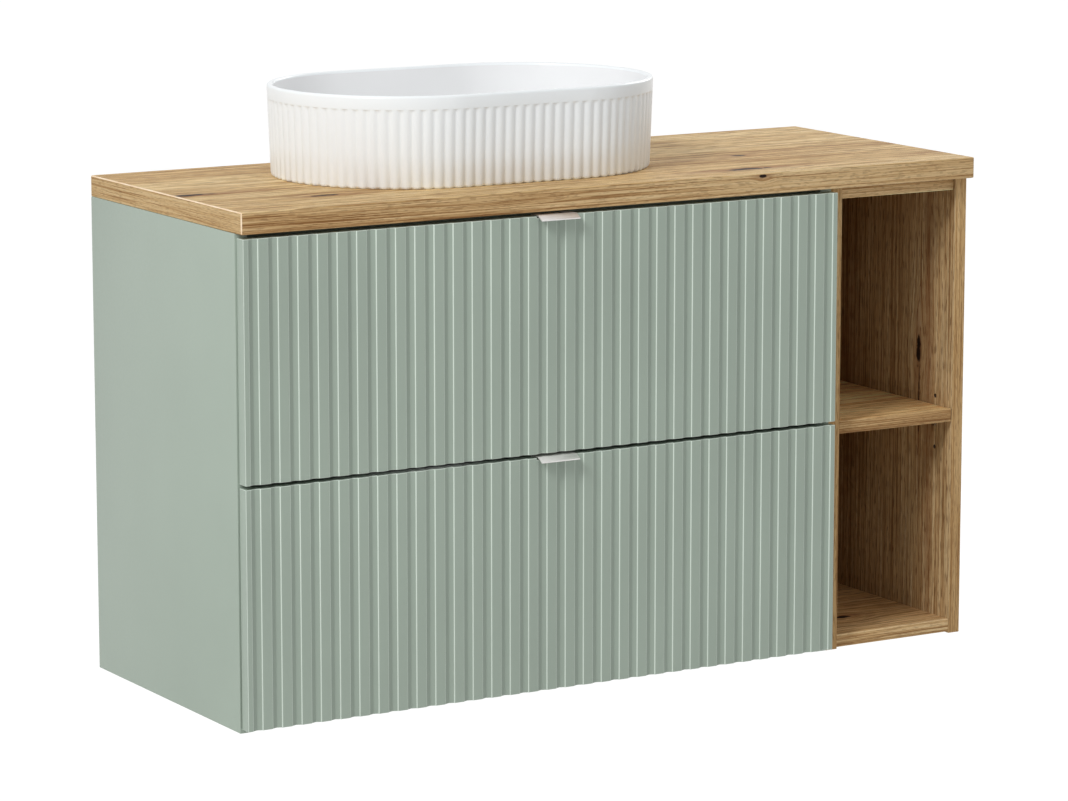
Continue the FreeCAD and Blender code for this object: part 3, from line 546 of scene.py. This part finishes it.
def studio():
    """White surroundings as the camera and the metal see them, softer ones as they light the piece."""
    scene = bpy.context.scene
    scene.view_settings.view_transform = "Standard"
    world = bpy.data.worlds.new("studio")
    scene.world = world
    world.use_nodes = True
    tree = world.node_tree
    rays = tree.nodes.new("ShaderNodeLightPath").outputs
    seen = tree.nodes.new("ShaderNodeMath")
    seen.operation = "MAXIMUM"
    tree.links.new(rays["Is Camera Ray"], seen.inputs[0])
    shiny = tree.nodes.new("ShaderNodeMath")
    shiny.operation = "MAXIMUM"
    tree.links.new(rays["Is Glossy Ray"], shiny.inputs[0])
    tree.links.new(rays["Is Transmission Ray"], shiny.inputs[1])
    tree.links.new(shiny.outputs[0], seen.inputs[1])
    level = tree.nodes.new("ShaderNodeMapRange")
    tree.links.new(seen.outputs[0], level.inputs[0])
    level.inputs[3].default_value, level.inputs[4].default_value = WORLD_LIGHT, WORLD_SEEN
    tree.links.new(level.outputs[0], tree.nodes["Background"].inputs["Strength"])
    tree.nodes["Background"].inputs["Color"].default_value = (1, 1, 1, 1)
    for name, settings in SOFTBOXES.items():
        softbox(name, *settings)


def floor():
    """Pale floor below the hung piece, which shows white to the camera and keeps a soft shadow."""
    deselect()
    bpy.ops.mesh.primitive_plane_add(size=FLOOR_SIZE, location=(0, 0, -FLOOR_BELOW))
    ground = named("floor")
    paint = Finish("pale_floor", Roughness=0.9)
    tree = paint.tree
    rays = tree.nodes.new("ShaderNodeLightPath").outputs
    lit = tree.nodes.new("ShaderNodeEmission")
    blend = tree.nodes.new("ShaderNodeMixShader")
    seen = paint.sum(rays["Is Camera Ray"], rays["Is Glossy Ray"], "MAXIMUM")
    seen = paint.sum(seen, rays["Is Transmission Ray"], "MAXIMUM")
    lit.inputs["Strength"].default_value = FLOOR_GLOW
    tree.links.new(paint.times(seen, FLOOR_SHARE), blend.inputs[0])
    tree.links.new(paint.shader.outputs[0], blend.inputs[1])
    tree.links.new(lit.outputs[0], blend.inputs[2])
    tree.links.new(blend.outputs[0], tree.nodes["Material Output"].inputs["Surface"])
    paint.coat(paint.mix(paint.noise(3, 3), rgb(FLOOR_PALE), rgb(FLOOR_SHADE)))
    ground.data.materials.append(paint.material)


# Basin ------------------------------------------------------------------------------------------

RIBS, RIB_COLUMNS = 100, 10
# The ribs fade out over RIB_RUNOUT above RIB_TOP
RIB_DEPTH, RIB_TOP, RIB_RUNOUT = 1.5, 86.0, 6.0
VALLEY_ROUNDING = 0.14
# The valleys cut back further just above the worktop
FOOT_RISE, FOOT_HOLLOW = 3.5, 1.3
# The wall leans out by BASIN_TAPER from the worktop up to WALL_TOP
BASIN_TAPER, WALL_TOP = 4.0, 105.0
# Points less than this far inside the rim's outline belong to the wall's outside or to the rim
OUTSIDE_WITHIN = 6.0
# Each rib's points join the next one's within this, once the wall is bent
WALL_SEAM = 0.2
# The wall's section from the underside, over the rim and down to the floor: millimetres out from the rim's
# outline and up from the worktop
WALL_SECTION = (
    (-24, 0.0), (-2.6, 0.0), (-1.2, 0.4), (-0.4, 1.3), (0, 3.5), (0, 40), (0, 78),
    (0, 86), (0, 88), (0, 89.6), (0, 90.8), (0, 91.6), (0, 92), (0, 93.4),
    (0, 105), (-0.25, 106.4), (-1.0, 107.4), (-2.2, 107.95), (-3.5, 108), (-4.8, 107.95), (-6.0, 107.4),
    (-6.75, 106.4), (-7.0, 105), (-8.2, 80), (-10, 48), (-11.6, 36.5), (-14.2, 28.5), (-18.6, 22.4),
    (-24.6, 18.6), (-32, 16.9),
)
# The dish's rings from the wall's foot in to the drain: a share of that foot, and a height
FLOOR_RINGS = ((0.86, 16.3), (0.7, 15.6), (0.52, 14.9), (0.36, 14.3))
DRAIN_RADIUS, DRAIN_HEIGHT = 33.0, 14.0
# The dish starts from the open edge that is higher than this, and not from the underside's
DISH_EDGE_ABOVE = 10.0
# The bowl's darker glaze, a painted shade, runs from just above the worktop to just below the rim
BOWL_FROM, BOWL_BELOW_RIM = 2.0, 4.0
BOWL_SHADE_SLOT = 1


def stadium(name, straight, radius, centre, height):
    """A closed outline of two half circles and two straight sides, as a curve for the wall to follow."""
    line = bpy.data.curves.new(name, "CURVE")
    line.dimensions, line.resolution_u = "2D", 64
    spline = line.splines.new("BEZIER")
    spline.bezier_points.add(5)
    reach = radius * 4 * (math.sqrt(2) - 1) / 3
    corners = ((straight, -radius, 1, 0), (straight + radius, 0, 0, 1), (straight, radius, -1, 0),
               (-straight, radius, -1, 0), (-straight - radius, 0, 0, -1), (-straight, -radius, 1, 0))
    for point, (x, y, dx, dy) in zip(spline.bezier_points, corners):
        point.handle_left_type = point.handle_right_type = "FREE"
        point.co = (x, y, 0)
        point.handle_left = (x - dx * reach, y - dy * reach, 0)
        point.handle_right = (x + dx * reach, y + dy * reach, 0)
    # The handles along the straight sides lie on the line, a third of the way in
    points = spline.bezier_points
    points[5].handle_right = (-straight / 3, -radius, 0)
    points[0].handle_left = (straight / 3, -radius, 0)
    points[2].handle_right = (straight / 3, radius, 0)
    points[3].handle_left = (-straight / 3, radius, 0)
    spline.use_cyclic_u = True
    path = placed(name, line)
    path.location = (centre.x, centre.y, height)
    return path


def rib_depth(across, height):
    """How far a rib's surface lies behind the band, across one pitch from -0.5 to 0.5, and up the wall."""
    crest, valley = math.hypot(1, VALLEY_ROUNDING), VALLEY_ROUNDING
    hollow = RIB_DEPTH * (crest - math.hypot(math.cos(math.pi * across), valley)) / (crest - valley)
    if height < FOOT_RISE:
        return hollow * (1 + FOOT_HOLLOW * (1 - height / FOOT_RISE))
    if height <= RIB_TOP:
        return hollow
    rise = min(1.0, (height - RIB_TOP) / RIB_RUNOUT)
    return hollow * math.sqrt(1 - rise ** 2)


def basin_wall(pitch):
    """One rib of the wall, drawn up from the underside, over the rim and down to the floor."""
    deselect()
    bpy.ops.mesh.primitive_grid_add(x_subdivisions=RIB_COLUMNS, y_subdivisions=1, size=1)
    wall = named("ribbed_basin")
    edit(wall)
    pick("verts", lambda v: v.co.y > 0)
    bpy.ops.mesh.delete(type="VERT")
    pick_all()
    bpy.ops.transform.resize(value=(pitch, 1, 1), center_override=(0, 0, 0))
    out, height = WALL_SECTION[0]
    # The grid's edge stands half a metre off, and the section is drawn about the outline
    bpy.ops.transform.translate(value=(0, 0.5 + mm(out), mm(height)))
    for next_out, next_height in WALL_SECTION[1:]:
        draw_out(0, mm(next_out - out), mm(next_height - height))
        out, height = next_out, next_height
    deselect()
    for vertex in wall.data.vertices:
        across, up = vertex.co.x / pitch, vertex.co.z * 1000
        depth = rib_depth(across, up) if vertex.co.y > -mm(OUTSIDE_WITHIN) else 0.0
        vertex.co.y -= mm(depth + BASIN_TAPER * max(0.0, 1 - up / WALL_TOP))
    return wall


def dish(wall, middle):
    """Runs the wall's inner edge in to the drain; the underside stays open on the worktop."""
    pick("edges", lambda e: e.is_boundary and min(v.co.z for v in e.verts) > middle.z + mm(DISH_EDGE_ABOVE))
    last_share, last_height = 1.0, WALL_SECTION[-1][1]
    for share, height in FLOOR_RINGS:
        draw_out(0, 0, mm(height - last_height))
        bpy.ops.transform.resize(value=(share / last_share, share / last_share, 1), center_override=middle)
        last_share, last_height = share, height
    draw_out(0, 0, mm(DRAIN_HEIGHT - last_height))
    deselect()
    for vertex in [v for v in wall.data.vertices if v.select]:
        away = Vector((vertex.co.x - middle.x, vertex.co.y - middle.y, 0)).normalized()
        vertex.co = Vector((middle.x, middle.y, middle.z + mm(DRAIN_HEIGHT))) + away * mm(DRAIN_RADIUS)


def basin():
    """The ribbed wall bent round its outline, with the dish inside it."""
    low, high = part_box("basin")
    centre, radius = (low + high) / 2, (high.y - low.y) / 2
    straight = (high.x - low.x) / 2 - radius
    pitch = (4 * straight + 2 * math.pi * radius) / RIBS
    wall = basin_wall(pitch)
    edit(wall)
    pick_all()
    bpy.ops.transform.translate(value=(pitch / 2, 0, 0))
    deselect()
    path = stadium("basin_outline", straight, radius, centre, low.z)
    repeat_across(wall, RIBS, pitch)
    wall.location = path.location
    work(wall, "CURVE", object=path, deform_axis="POS_X")
    take_up(wall)
    settle()
    bpy.data.objects.remove(path)
    edit(wall)
    pick_all()
    bpy.ops.mesh.remove_doubles(threshold=mm(WALL_SEAM))
    dish(wall, Vector((centre.x, centre.y, low.z)))
    edit(wall)
    face_outwards()
    smoothed(wall, angle=38)
    fit(wall, "root", "white_ceramic", (WALL_GLAZE_PAINTED_LIGHT, BOWL_GLAZE_PAINTED_SHADE), "basin")
    # The bowl's faces take the darker glaze: painted shade
    rim = max(vertex.co.z for vertex in wall.data.vertices) - mm(BOWL_BELOW_RIM)
    for face in wall.data.polygons:
        out = face.center - centre
        outward = face.normal.x * out.x + face.normal.y * out.y
        if outward < 0 and low.z + mm(BOWL_FROM) < face.center.z < rim:
            face.material_index = BOWL_SHADE_SLOT


# Drawer fronts ----------------------------------------------------------------------------------

FLUTES = 32
FLUTE_WIDTH, FLUTE_DEPTH = 12.0, 3.2
# Each side of a flute drops steeply through its lip before it slopes to the bottom
LIP_DROP, LIP_WIDTH = 1.1, 0.5
# Rounding of the flute's arrises and of its bottom, and of the front's own edges
ARRIS, HOLLOW, FRONT_EDGE = 0.45, 0.4, 0.5
REBATE_DEPTH, REBATE_PLAY = 2.3, 0.3
ARRIS_HIGHLIGHT_SLOT, GROOVE_SHADE_SLOT = 1, 2


def fluted_front(name):
    """A front drawn as one flute's face, repeated across and closed behind."""
    node = name + "_drawer_front"
    finishes = (SAGE_LACQUER, SAGE_ARRIS_HIGHLIGHT, SAGE_GROOVE_SHADE)
    low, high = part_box(node)
    pitch = (high.x - low.x) / FLUTES
    land, lip, slope = (pitch - mm(FLUTE_WIDTH)) / 2, mm(LIP_WIDTH), mm(FLUTE_WIDTH / 2 - LIP_WIDTH)
    drop, fall = mm(LIP_DROP), mm(FLUTE_DEPTH - LIP_DROP)

    def upright_at(*places):
        """A test for edges that stand at one of some distances from the front's left end."""
        return lambda e: any(all(abs(v.co.x - low.x - x) < mm(JOINED) for v in e.verts) for x in places)

    def give(slot):
        """Puts the picked faces in a slot."""
        bpy.context.object.active_material_index = slot
        bpy.ops.object.material_slot_assign()

    middle = (low.x + land / 2, low.y, (low.z + high.z) / 2)
    deselect()
    bpy.ops.mesh.primitive_plane_add(size=1, location=middle, rotation=(math.radians(90), 0, 0))
    front = named("fluted_" + node)
    edit(front)
    pick_all()
    bpy.ops.transform.resize(value=(land, 1, high.z - low.z), center_override=middle)
    for finish in finishes:
        front.data.materials.append(finish)
    at = land
    for step, depth in ((lip, drop), (slope, fall), (slope, -fall), (lip, -drop), (land, 0)):
        pick("edges", upright_at(at))
        draw_out(step, depth, 0)
        at += step
    pick("edges", upright_at(land, pitch - land))
    # The rounded arrises take the lighter lacquer: a painted highlight
    bpy.ops.mesh.bevel(offset=mm(ARRIS), segments=3, affect="EDGES", material=ARRIS_HIGHLIGHT_SLOT)
    pick("edges", upright_at(pitch / 2))
    bpy.ops.mesh.bevel(offset=mm(HOLLOW), segments=3, affect="EDGES", material=FACE_SLOT)
    # The lips take the lighter lacquer as the rounded arrises do: a painted highlight
    pick("faces", lambda f: abs(f.normal.x) > 0.8)
    give(ARRIS_HIGHLIGHT_SLOT)
    # The grooves' faces take the darker lacquer: painted shade
    pick("faces", lambda f: f.calc_center_median().y > low.y + drop)
    give(GROOVE_SHADE_SLOT)
    deselect()
    repeat_across(front, FLUTES, pitch)
    edit(front)
    pick("edges", lambda e: e.is_boundary)
    draw_out(0, 0, 0)
    bpy.ops.transform.resize(value=(1, 0, 1), center_override=(0, high.y, 0))
    bpy.ops.mesh.edge_face_add()
    face_outwards()
    pull_low, pull_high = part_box(name + "_drawer_pull")
    cut(front, blank("rebate_tool",
                     (pull_low.x - mm(REBATE_PLAY), low.y - mm(OVERCUT), high.z - mm(REBATE_DEPTH)),
                     (pull_high.x + mm(REBATE_PLAY), high.y + mm(OVERCUT), high.z + mm(OVERCUT))))
    # The front's own edges take the lighter lacquer too: a painted highlight
    work(front, "BEVEL", width=mm(FRONT_EDGE), segments=2, limit_method="ANGLE",
         angle_limit=math.radians(75), material=ARRIS_HIGHLIGHT_SLOT)
    smoothed(front, angle=12)
    fit(front, name + "_drawer", "sage_lacquer", finishes, node)


# Boards and drawers -----------------------------------------------------------------------------

WORKTOP_HOLE_RADIUS = 25.0
# The worktop's rounded right front corner, and how far from its left end the eased edge keeps its painted
# highlight
OPEN_CORNER, PALE_REACH = 4.0, 20.0
PIN_RADIUS, PIN_PITCH, PIN_DEPTH = 2.5, 32.0, 9.0
# How far each front edge stands back from its packed place
FRONT_RAIL_SET_BACK, BOTTOM_SET_BACK, TOP_SET_BACK = 24.0, 0.5, 5.0
# Widths of the eased edges
WORKTOP_EASE, BOARD_EASE, DRAWER_EASE, UPRIGHT_EASE, THIN_EASE = 1.2, 0.6, 0.5, 0.4, 0.3
RUNNER_EASE, PIN_EASE = 0.25, 0.2
# Slots of the oak's finishes on boards that lie flat, and on uprights
END_SLOT, FRONT_SLOT, EDGE_HIGHLIGHT_SLOT = 1, 2, 3
BORE_SLOT, UPRIGHT_FRONT_SLOT = 2, 3


def worktop():
    """The oak board with its hole for the waste and one rounded corner."""
    low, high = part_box("worktop")
    top = blank("oak_worktop", low, high)
    basin_low, basin_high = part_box("basin")
    hole = (basin_low + basin_high) / 2
    cut(top, dowel("worktop_tool", mm(WORKTOP_HOLE_RADIUS), (hole.x, hole.y, low.z - mm(OVERCUT)),
                   (hole.x, hole.y, high.z + mm(OVERCUT))))
    edit(top)
    pick("edges", lambda e: all(v.co.x > high.x - mm(BESIDE) and v.co.y < low.y + mm(BESIDE)
                                for v in e.verts))
    bpy.ops.mesh.bevel(offset=mm(OPEN_CORNER), segments=6, affect="EDGES")
    deselect()
    fit(top, "root", "oak", (OAK_TOP, OAK_BANDING, OAK_LONG, OAK_EDGE_HIGHLIGHT), "worktop")
    band(top, X, END_SLOT)
    band(top, Y, FRONT_SLOT)
    ease(top, WORKTOP_EASE, segments=3, angle=60, finish=EDGE_HIGHLIGHT_SLOT)
    # Only the left end's top edge and front corner keep the pale painted highlight
    for face in top.data.polygons:
        far = face.center.x > low.x + mm(PALE_REACH)
        if face.material_index == EDGE_HIGHLIGHT_SLOT and (face.normal.z < -0.1 or far):
            beside = END_SLOT if abs(face.normal.x) > abs(face.normal.y) else FRONT_SLOT
            face.material_index = FACE_SLOT if face.normal.z > 0.1 else beside


def set_front_back(board, distance):
    """Moves the board's front edge back towards the wall."""
    front = min(v.co.y for v in board.data.vertices)
    edit(board)
    pick("verts", lambda v: v.co.y < front + mm(BESIDE))
    bpy.ops.transform.translate(value=(0, mm(distance), 0))
    deselect()
    return board


def carcass():
    """The cabinet's own boards in sage, and its thin back."""
    for node in ("cabinet_side_left", "cabinet_side_right", "cabinet_bottom",
                 "top_back_rail", "lower_back_rail"):
        finished(node, BOARD_EASE, "sage_lacquer", SAGE_LACQUER)
    rail = set_front_back(worked_copy("top_front_rail"), FRONT_RAIL_SET_BACK)
    ease(rail, BOARD_EASE)
    fit(rail, "root", "sage_lacquer", SAGE_LACQUER, "top_front_rail")
    # Flat faces: smooth ones shade unevenly round the corners of the pipe cut-out
    take_up(finished("cabinet_back", THIN_EASE, "drawer_board", DRAWER_BOARD))
    bpy.ops.mesh.customdata_custom_splitnormals_clear()
    bpy.ops.object.shade_flat()


def pin_holes(board, node):
    """Bores the spare pin holes above and below the shelf in an upright, and returns their y and z."""
    low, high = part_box(node)
    pin_low, pin_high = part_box("shelf_pins")
    inner, inward = (high.x, -1) if node.endswith("left") else (low.x, 1)
    holes = []
    for y in (pin_low.y + mm(PIN_RADIUS), pin_high.y - mm(PIN_RADIUS)):
        for rise in (-PIN_PITCH, PIN_PITCH):
            z = (pin_low.z + pin_high.z) / 2 + mm(rise)
            cut(board, dowel("pin_drill", mm(PIN_RADIUS), (inner - inward * mm(OVERCUT), y, z),
                             (inner + inward * mm(PIN_DEPTH), y, z), sides=20))
            holes.append(Vector((y, z)))
    return holes


def shelf_unit():
    """The open oak unit: its sides and back, then the boards that lie between them."""
    for node in ("shelf_side_left", "shelf_side_right", "shelf_unit_back"):
        board = worked_copy(node)
        is_side = "side" in node
        holes = pin_holes(board, node) if is_side else []
        fit(board, "root", "oak", (OAK_UPRIGHT, OAK_BANDING, BORE_SHADE_FINISH, OAK_UPRIGHT_EDGE), node)
        band(board, Z, END_SLOT)
        if is_side:
            band(board, Y, UPRIGHT_FRONT_SLOT)
        # The bored holes' walls take a dark brown: painted shade
        for face in board.data.polygons:
            if any((face.center.yz - hole).length < mm(PIN_RADIUS + BESIDE) for hole in holes):
                face.material_index = BORE_SLOT
        ease(board, UPRIGHT_EASE)
    # The top board's eased edges take the pale shelf oak in the last slot: a painted highlight
    for node, set_back, face_oak, trim in (("shelf_unit_bottom", BOTTOM_SET_BACK, OAK_SHELF, AS_BESIDE),
                                           ("shelf_unit_top", TOP_SET_BACK, OAK_SHELF, EDGE_HIGHLIGHT_SLOT),
                                           ("shelf_board", 0.0, OAK_SHELF_PALE, AS_BESIDE)):
        board = set_front_back(worked_copy(node), set_back)
        fit(board, "root", "oak", (face_oak, OAK_BANDING, OAK_LONG, OAK_SHELF_PALE), node)
        band(board, X, END_SLOT)
        band(board, Y, FRONT_SLOT)
        ease(board, BOARD_EASE, finish=trim)


def drawers():
    """Each drawer's front, pull and box, and its runners."""
    for name in ("upper", "lower"):
        fluted_front(name)
        finished(name + "_drawer_pull", THIN_EASE, "anodised_pull", PULL_METAL)
        boards = tuple(name + "_drawer_" + board for board in ("side", "bottom", "back"))
        for node in BODY_OF:
            if node.startswith(boards):
                finished(node, DRAWER_EASE, "drawer_board", DRAWER_BOARD)
            elif node.startswith(name + "_runner") and not node.endswith("cages"):
                finished(node, RUNNER_EASE, "zinc_steel", ZINC_STEEL)
        finished(name + "_runner_ball_cages", THIN_EASE, "cage_polymer", DARK_MOULDING)
    finished("upper_drawer_trap_liner", DRAWER_EASE, "grey_plastic", GREY_MOULDING)


# Plumbing and fixings ---------------------------------------------------------------------------

CHROME_EASE = 0.4
# The plug's dome: insets from its edge and heights, then shares of its radius and heights
DOME_EDGE = ((3.5, 0), (0.8, 0), (0, 0.7), (0.3, 1.5), (1.4, 2.2))
DOME_CROWN = ((0.8, 2.9), (0.55, 3.5), (0.3, 3.87), (0.1, 4.0))
DOME_RISE, STEM_WIDTH, STEM_TOP_BELOW = 4.0, 8.0, 3.0
# The rosette's section: out from its bore, and out from the wall
ROSETTE_PLAY = 0.15
ROSETTE = ((0, 0.2), (0, 9), (1.2, 9.6), (3, 8.2), (9, 3.6), (14, 2.2), (16, 1.2), (16.2, 0.2), (0, 0.2))
# Heads are drawn from their seat to their top; cross slots are a length, a width and a depth
SCREW_HEAD = ((4.2, 0), (4.2, 0.5), (3.7, 1.2), (2.8, 1.8), (1.6, 2.1), (0.5, 2.2))
SCREW_CROSS, SCREW_TOP = (4.0, 1.0, 1.3), 2.2
# Hanger screws: inside the hangers' ends, behind their front and above their foot
SCREW_INSIDE, SCREW_BEHIND, SCREW_RISE = 2.0, (12.0, 38.0), 10.0
CAM_RADIUS, CAM_PROUD = 7.5, 0.4
CAM_HEAD = ((CAM_RADIUS, 0), (CAM_RADIUS, CAM_PROUD - 0.15), (CAM_RADIUS - 0.3, CAM_PROUD), (0.5, CAM_PROUD))
CAM_INSET = 24.0
CAMS_BEHIND = {"cabinet_bottom": (60.0, 297.0), "top_front_rail": (45.0,)}
BOLT_RADIUS, BOLT_TOP = 7.0, 1.5
BOLT_HEAD = ((BOLT_RADIUS, 0), (BOLT_RADIUS, 0.6), (BOLT_RADIUS - 0.8, 1.3), (BOLT_RADIUS - 2.2, BOLT_TOP),
             (0.5, BOLT_TOP))
BOLT_CROSS = (5.0, 1.2, 1.2)
BOLTS_Y, BOLTS_Z = (-313.0, -60.0), (35.0, 500.0)


def turned(name, profile, sides=64):
    """A round piece about the upright axis, drawn ring by ring: millimetres out and up."""
    out, up = profile[0]
    deselect()
    bpy.ops.mesh.primitive_circle_add(vertices=sides, radius=mm(out), location=(0, 0, mm(up)))
    piece = named(name)
    edit(piece)
    pick_all()
    for next_out, next_up in profile[1:]:
        draw_out(0, 0, mm(next_up - up))
        bpy.ops.transform.resize(value=(next_out / out, next_out / out, 1), center_override=(0, 0, 0))
        out, up = next_out, next_up
    pick_all()
    bpy.ops.mesh.remove_doubles(threshold=mm(JOINED))
    bpy.ops.mesh.fill_holes(sides=0)
    face_outwards()
    return piece


def stood(piece, place, facing):
    """Turns a piece's upright axis to face a direction and stands its foot at a place."""
    take_up(piece)
    piece.rotation_euler = Vector(facing).to_track_quat("Z", "Y").to_euler()
    piece.location = place
    settle()
    return piece


def repeated(pattern, slot, finish, places):
    """A smooth copy of the pattern at each place and facing, and no pattern left over."""
    smoothed(pattern)
    for k, (place, facing) in enumerate(places):
        piece = placed("%s_%d" % (pattern.name, k + 1), pattern.data.copy())
        fit(stood(piece, place, facing), "root", slot, finish)
    bpy.data.objects.remove(pattern)


def crossed(head, top, length, width, depth):
    """Cuts a cross slot down from the top of an upright head."""
    for x, y in ((length, width), (width, length)):
        cut(head, blank("driver_tool", (-mm(x / 2), -mm(y / 2), mm(top - depth)),
                        (mm(x / 2), mm(y / 2), mm(top + OVERCUT))))
    return head


def plumbing():
    """The waste and the trap in chrome, and the two pieces modelled for them."""
    for node in ("waste_body", "waste_lock_nut", "trap_collar_nuts", "trap_inlet_tube",
                 "trap_body", "trap_cup", "outlet_pipe"):
        finished(node, CHROME_EASE, "chrome", BRIGHT_CHROME)
    domed_plug()
    wall_rosette()


def domed_plug():
    """A push-open plug: a shallow dome on its square stem."""
    low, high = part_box("waste_plug")
    middle, radius, half = (low + high) / 2, (high.x - low.x) / 2 * 1000, mm(STEM_WIDTH / 2)
    dome = turned("domed_plug", [(radius - inset, up) for inset, up in DOME_EDGE]
                  + [(radius * share, up) for share, up in DOME_CROWN], sides=96)
    stood(dome, (middle.x, middle.y, high.z - mm(DOME_RISE)), (0, 0, 1))
    cut(dome, blank("plug_stem", (middle.x - half, middle.y - half, low.z),
                    (middle.x + half, middle.y + half, high.z - mm(STEM_TOP_BELOW))), "UNION")
    smoothed(dome)
    fit(dome, "waste_plug", "chrome", BRIGHT_CHROME, "waste_plug")


def wall_rosette():
    """The plated cover ring round the outlet pipe where it meets the wall."""
    low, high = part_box("outlet_pipe")
    bore = (high.x - low.x) / 2 * 1000 + ROSETTE_PLAY
    ring = turned("outlet_rosette", [(bore + out, up) for out, up in ROSETTE], sides=96)
    stood(ring, ((low.x + high.x) / 2, high.y, (low.z + high.z) / 2), (0, -1, 0))
    smoothed(ring)
    fit(ring, "root", "chrome", BRIGHT_CHROME)


def hanger_screws():
    """The screws that hold each hanger to the cabinet."""
    low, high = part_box("cabinet_hangers")
    screw = crossed(turned("hanger_screw", SCREW_HEAD, sides=32), SCREW_TOP, *SCREW_CROSS)
    repeated(screw, "zinc_steel", ZINC_STEEL, [
        ((x, low.y + mm(behind), low.z + mm(SCREW_RISE)), (inward, 0, 0))
        for x, inward in ((low.x + mm(SCREW_INSIDE), 1), (high.x - mm(SCREW_INSIDE), -1))
        for behind in SCREW_BEHIND])


def cam_locks():
    """Cam locks in the underside of the cabinet's floor and of its front rail."""
    places = []
    for node, behind in CAMS_BEHIND.items():
        low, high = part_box(node)
        for x in (low.x + mm(CAM_INSET), high.x - mm(CAM_INSET)):
            places += [((x, low.y + mm(y), low.z), (0, 0, -1)) for y in behind]
    repeated(turned("cam_lock", CAM_HEAD, sides=40), "zinc_steel", ZINC_STEEL, places)


def sleeve_bolts():
    """Sleeve bolts that hold the cabinet and the shelf unit together, with a head at each end."""
    bolt = crossed(turned("sleeve_bolt", BOLT_HEAD, sides=40), BOLT_TOP, *BOLT_CROSS)
    cabinet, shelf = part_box("cabinet_side_right"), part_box("shelf_side_left")
    repeated(bolt, "nickel_pins", NICKEL_PLATE, [
        ((x, mm(y), mm(z)), (facing, 0, 0)) for x, facing in ((cabinet[0].x, -1), (shelf[1].x, 1))
        for y in BOLTS_Y for z in BOLTS_Z])


def fixings():
    """Hangers, wall plates and shelf pins, and the small fasteners."""
    for node in ("cabinet_hangers", "wall_plates"):
        finished(node, THIN_EASE, "zinc_steel", ZINC_STEEL)
    finished("shelf_pins", PIN_EASE, "nickel_pins", NICKEL_PLATE)
    hanger_screws()
    cam_locks()
    sleeve_bolts()


camera()
studio()
floor()
basin()
worktop()
carcass()
shelf_unit()
drawers()
plumbing()
fixings()
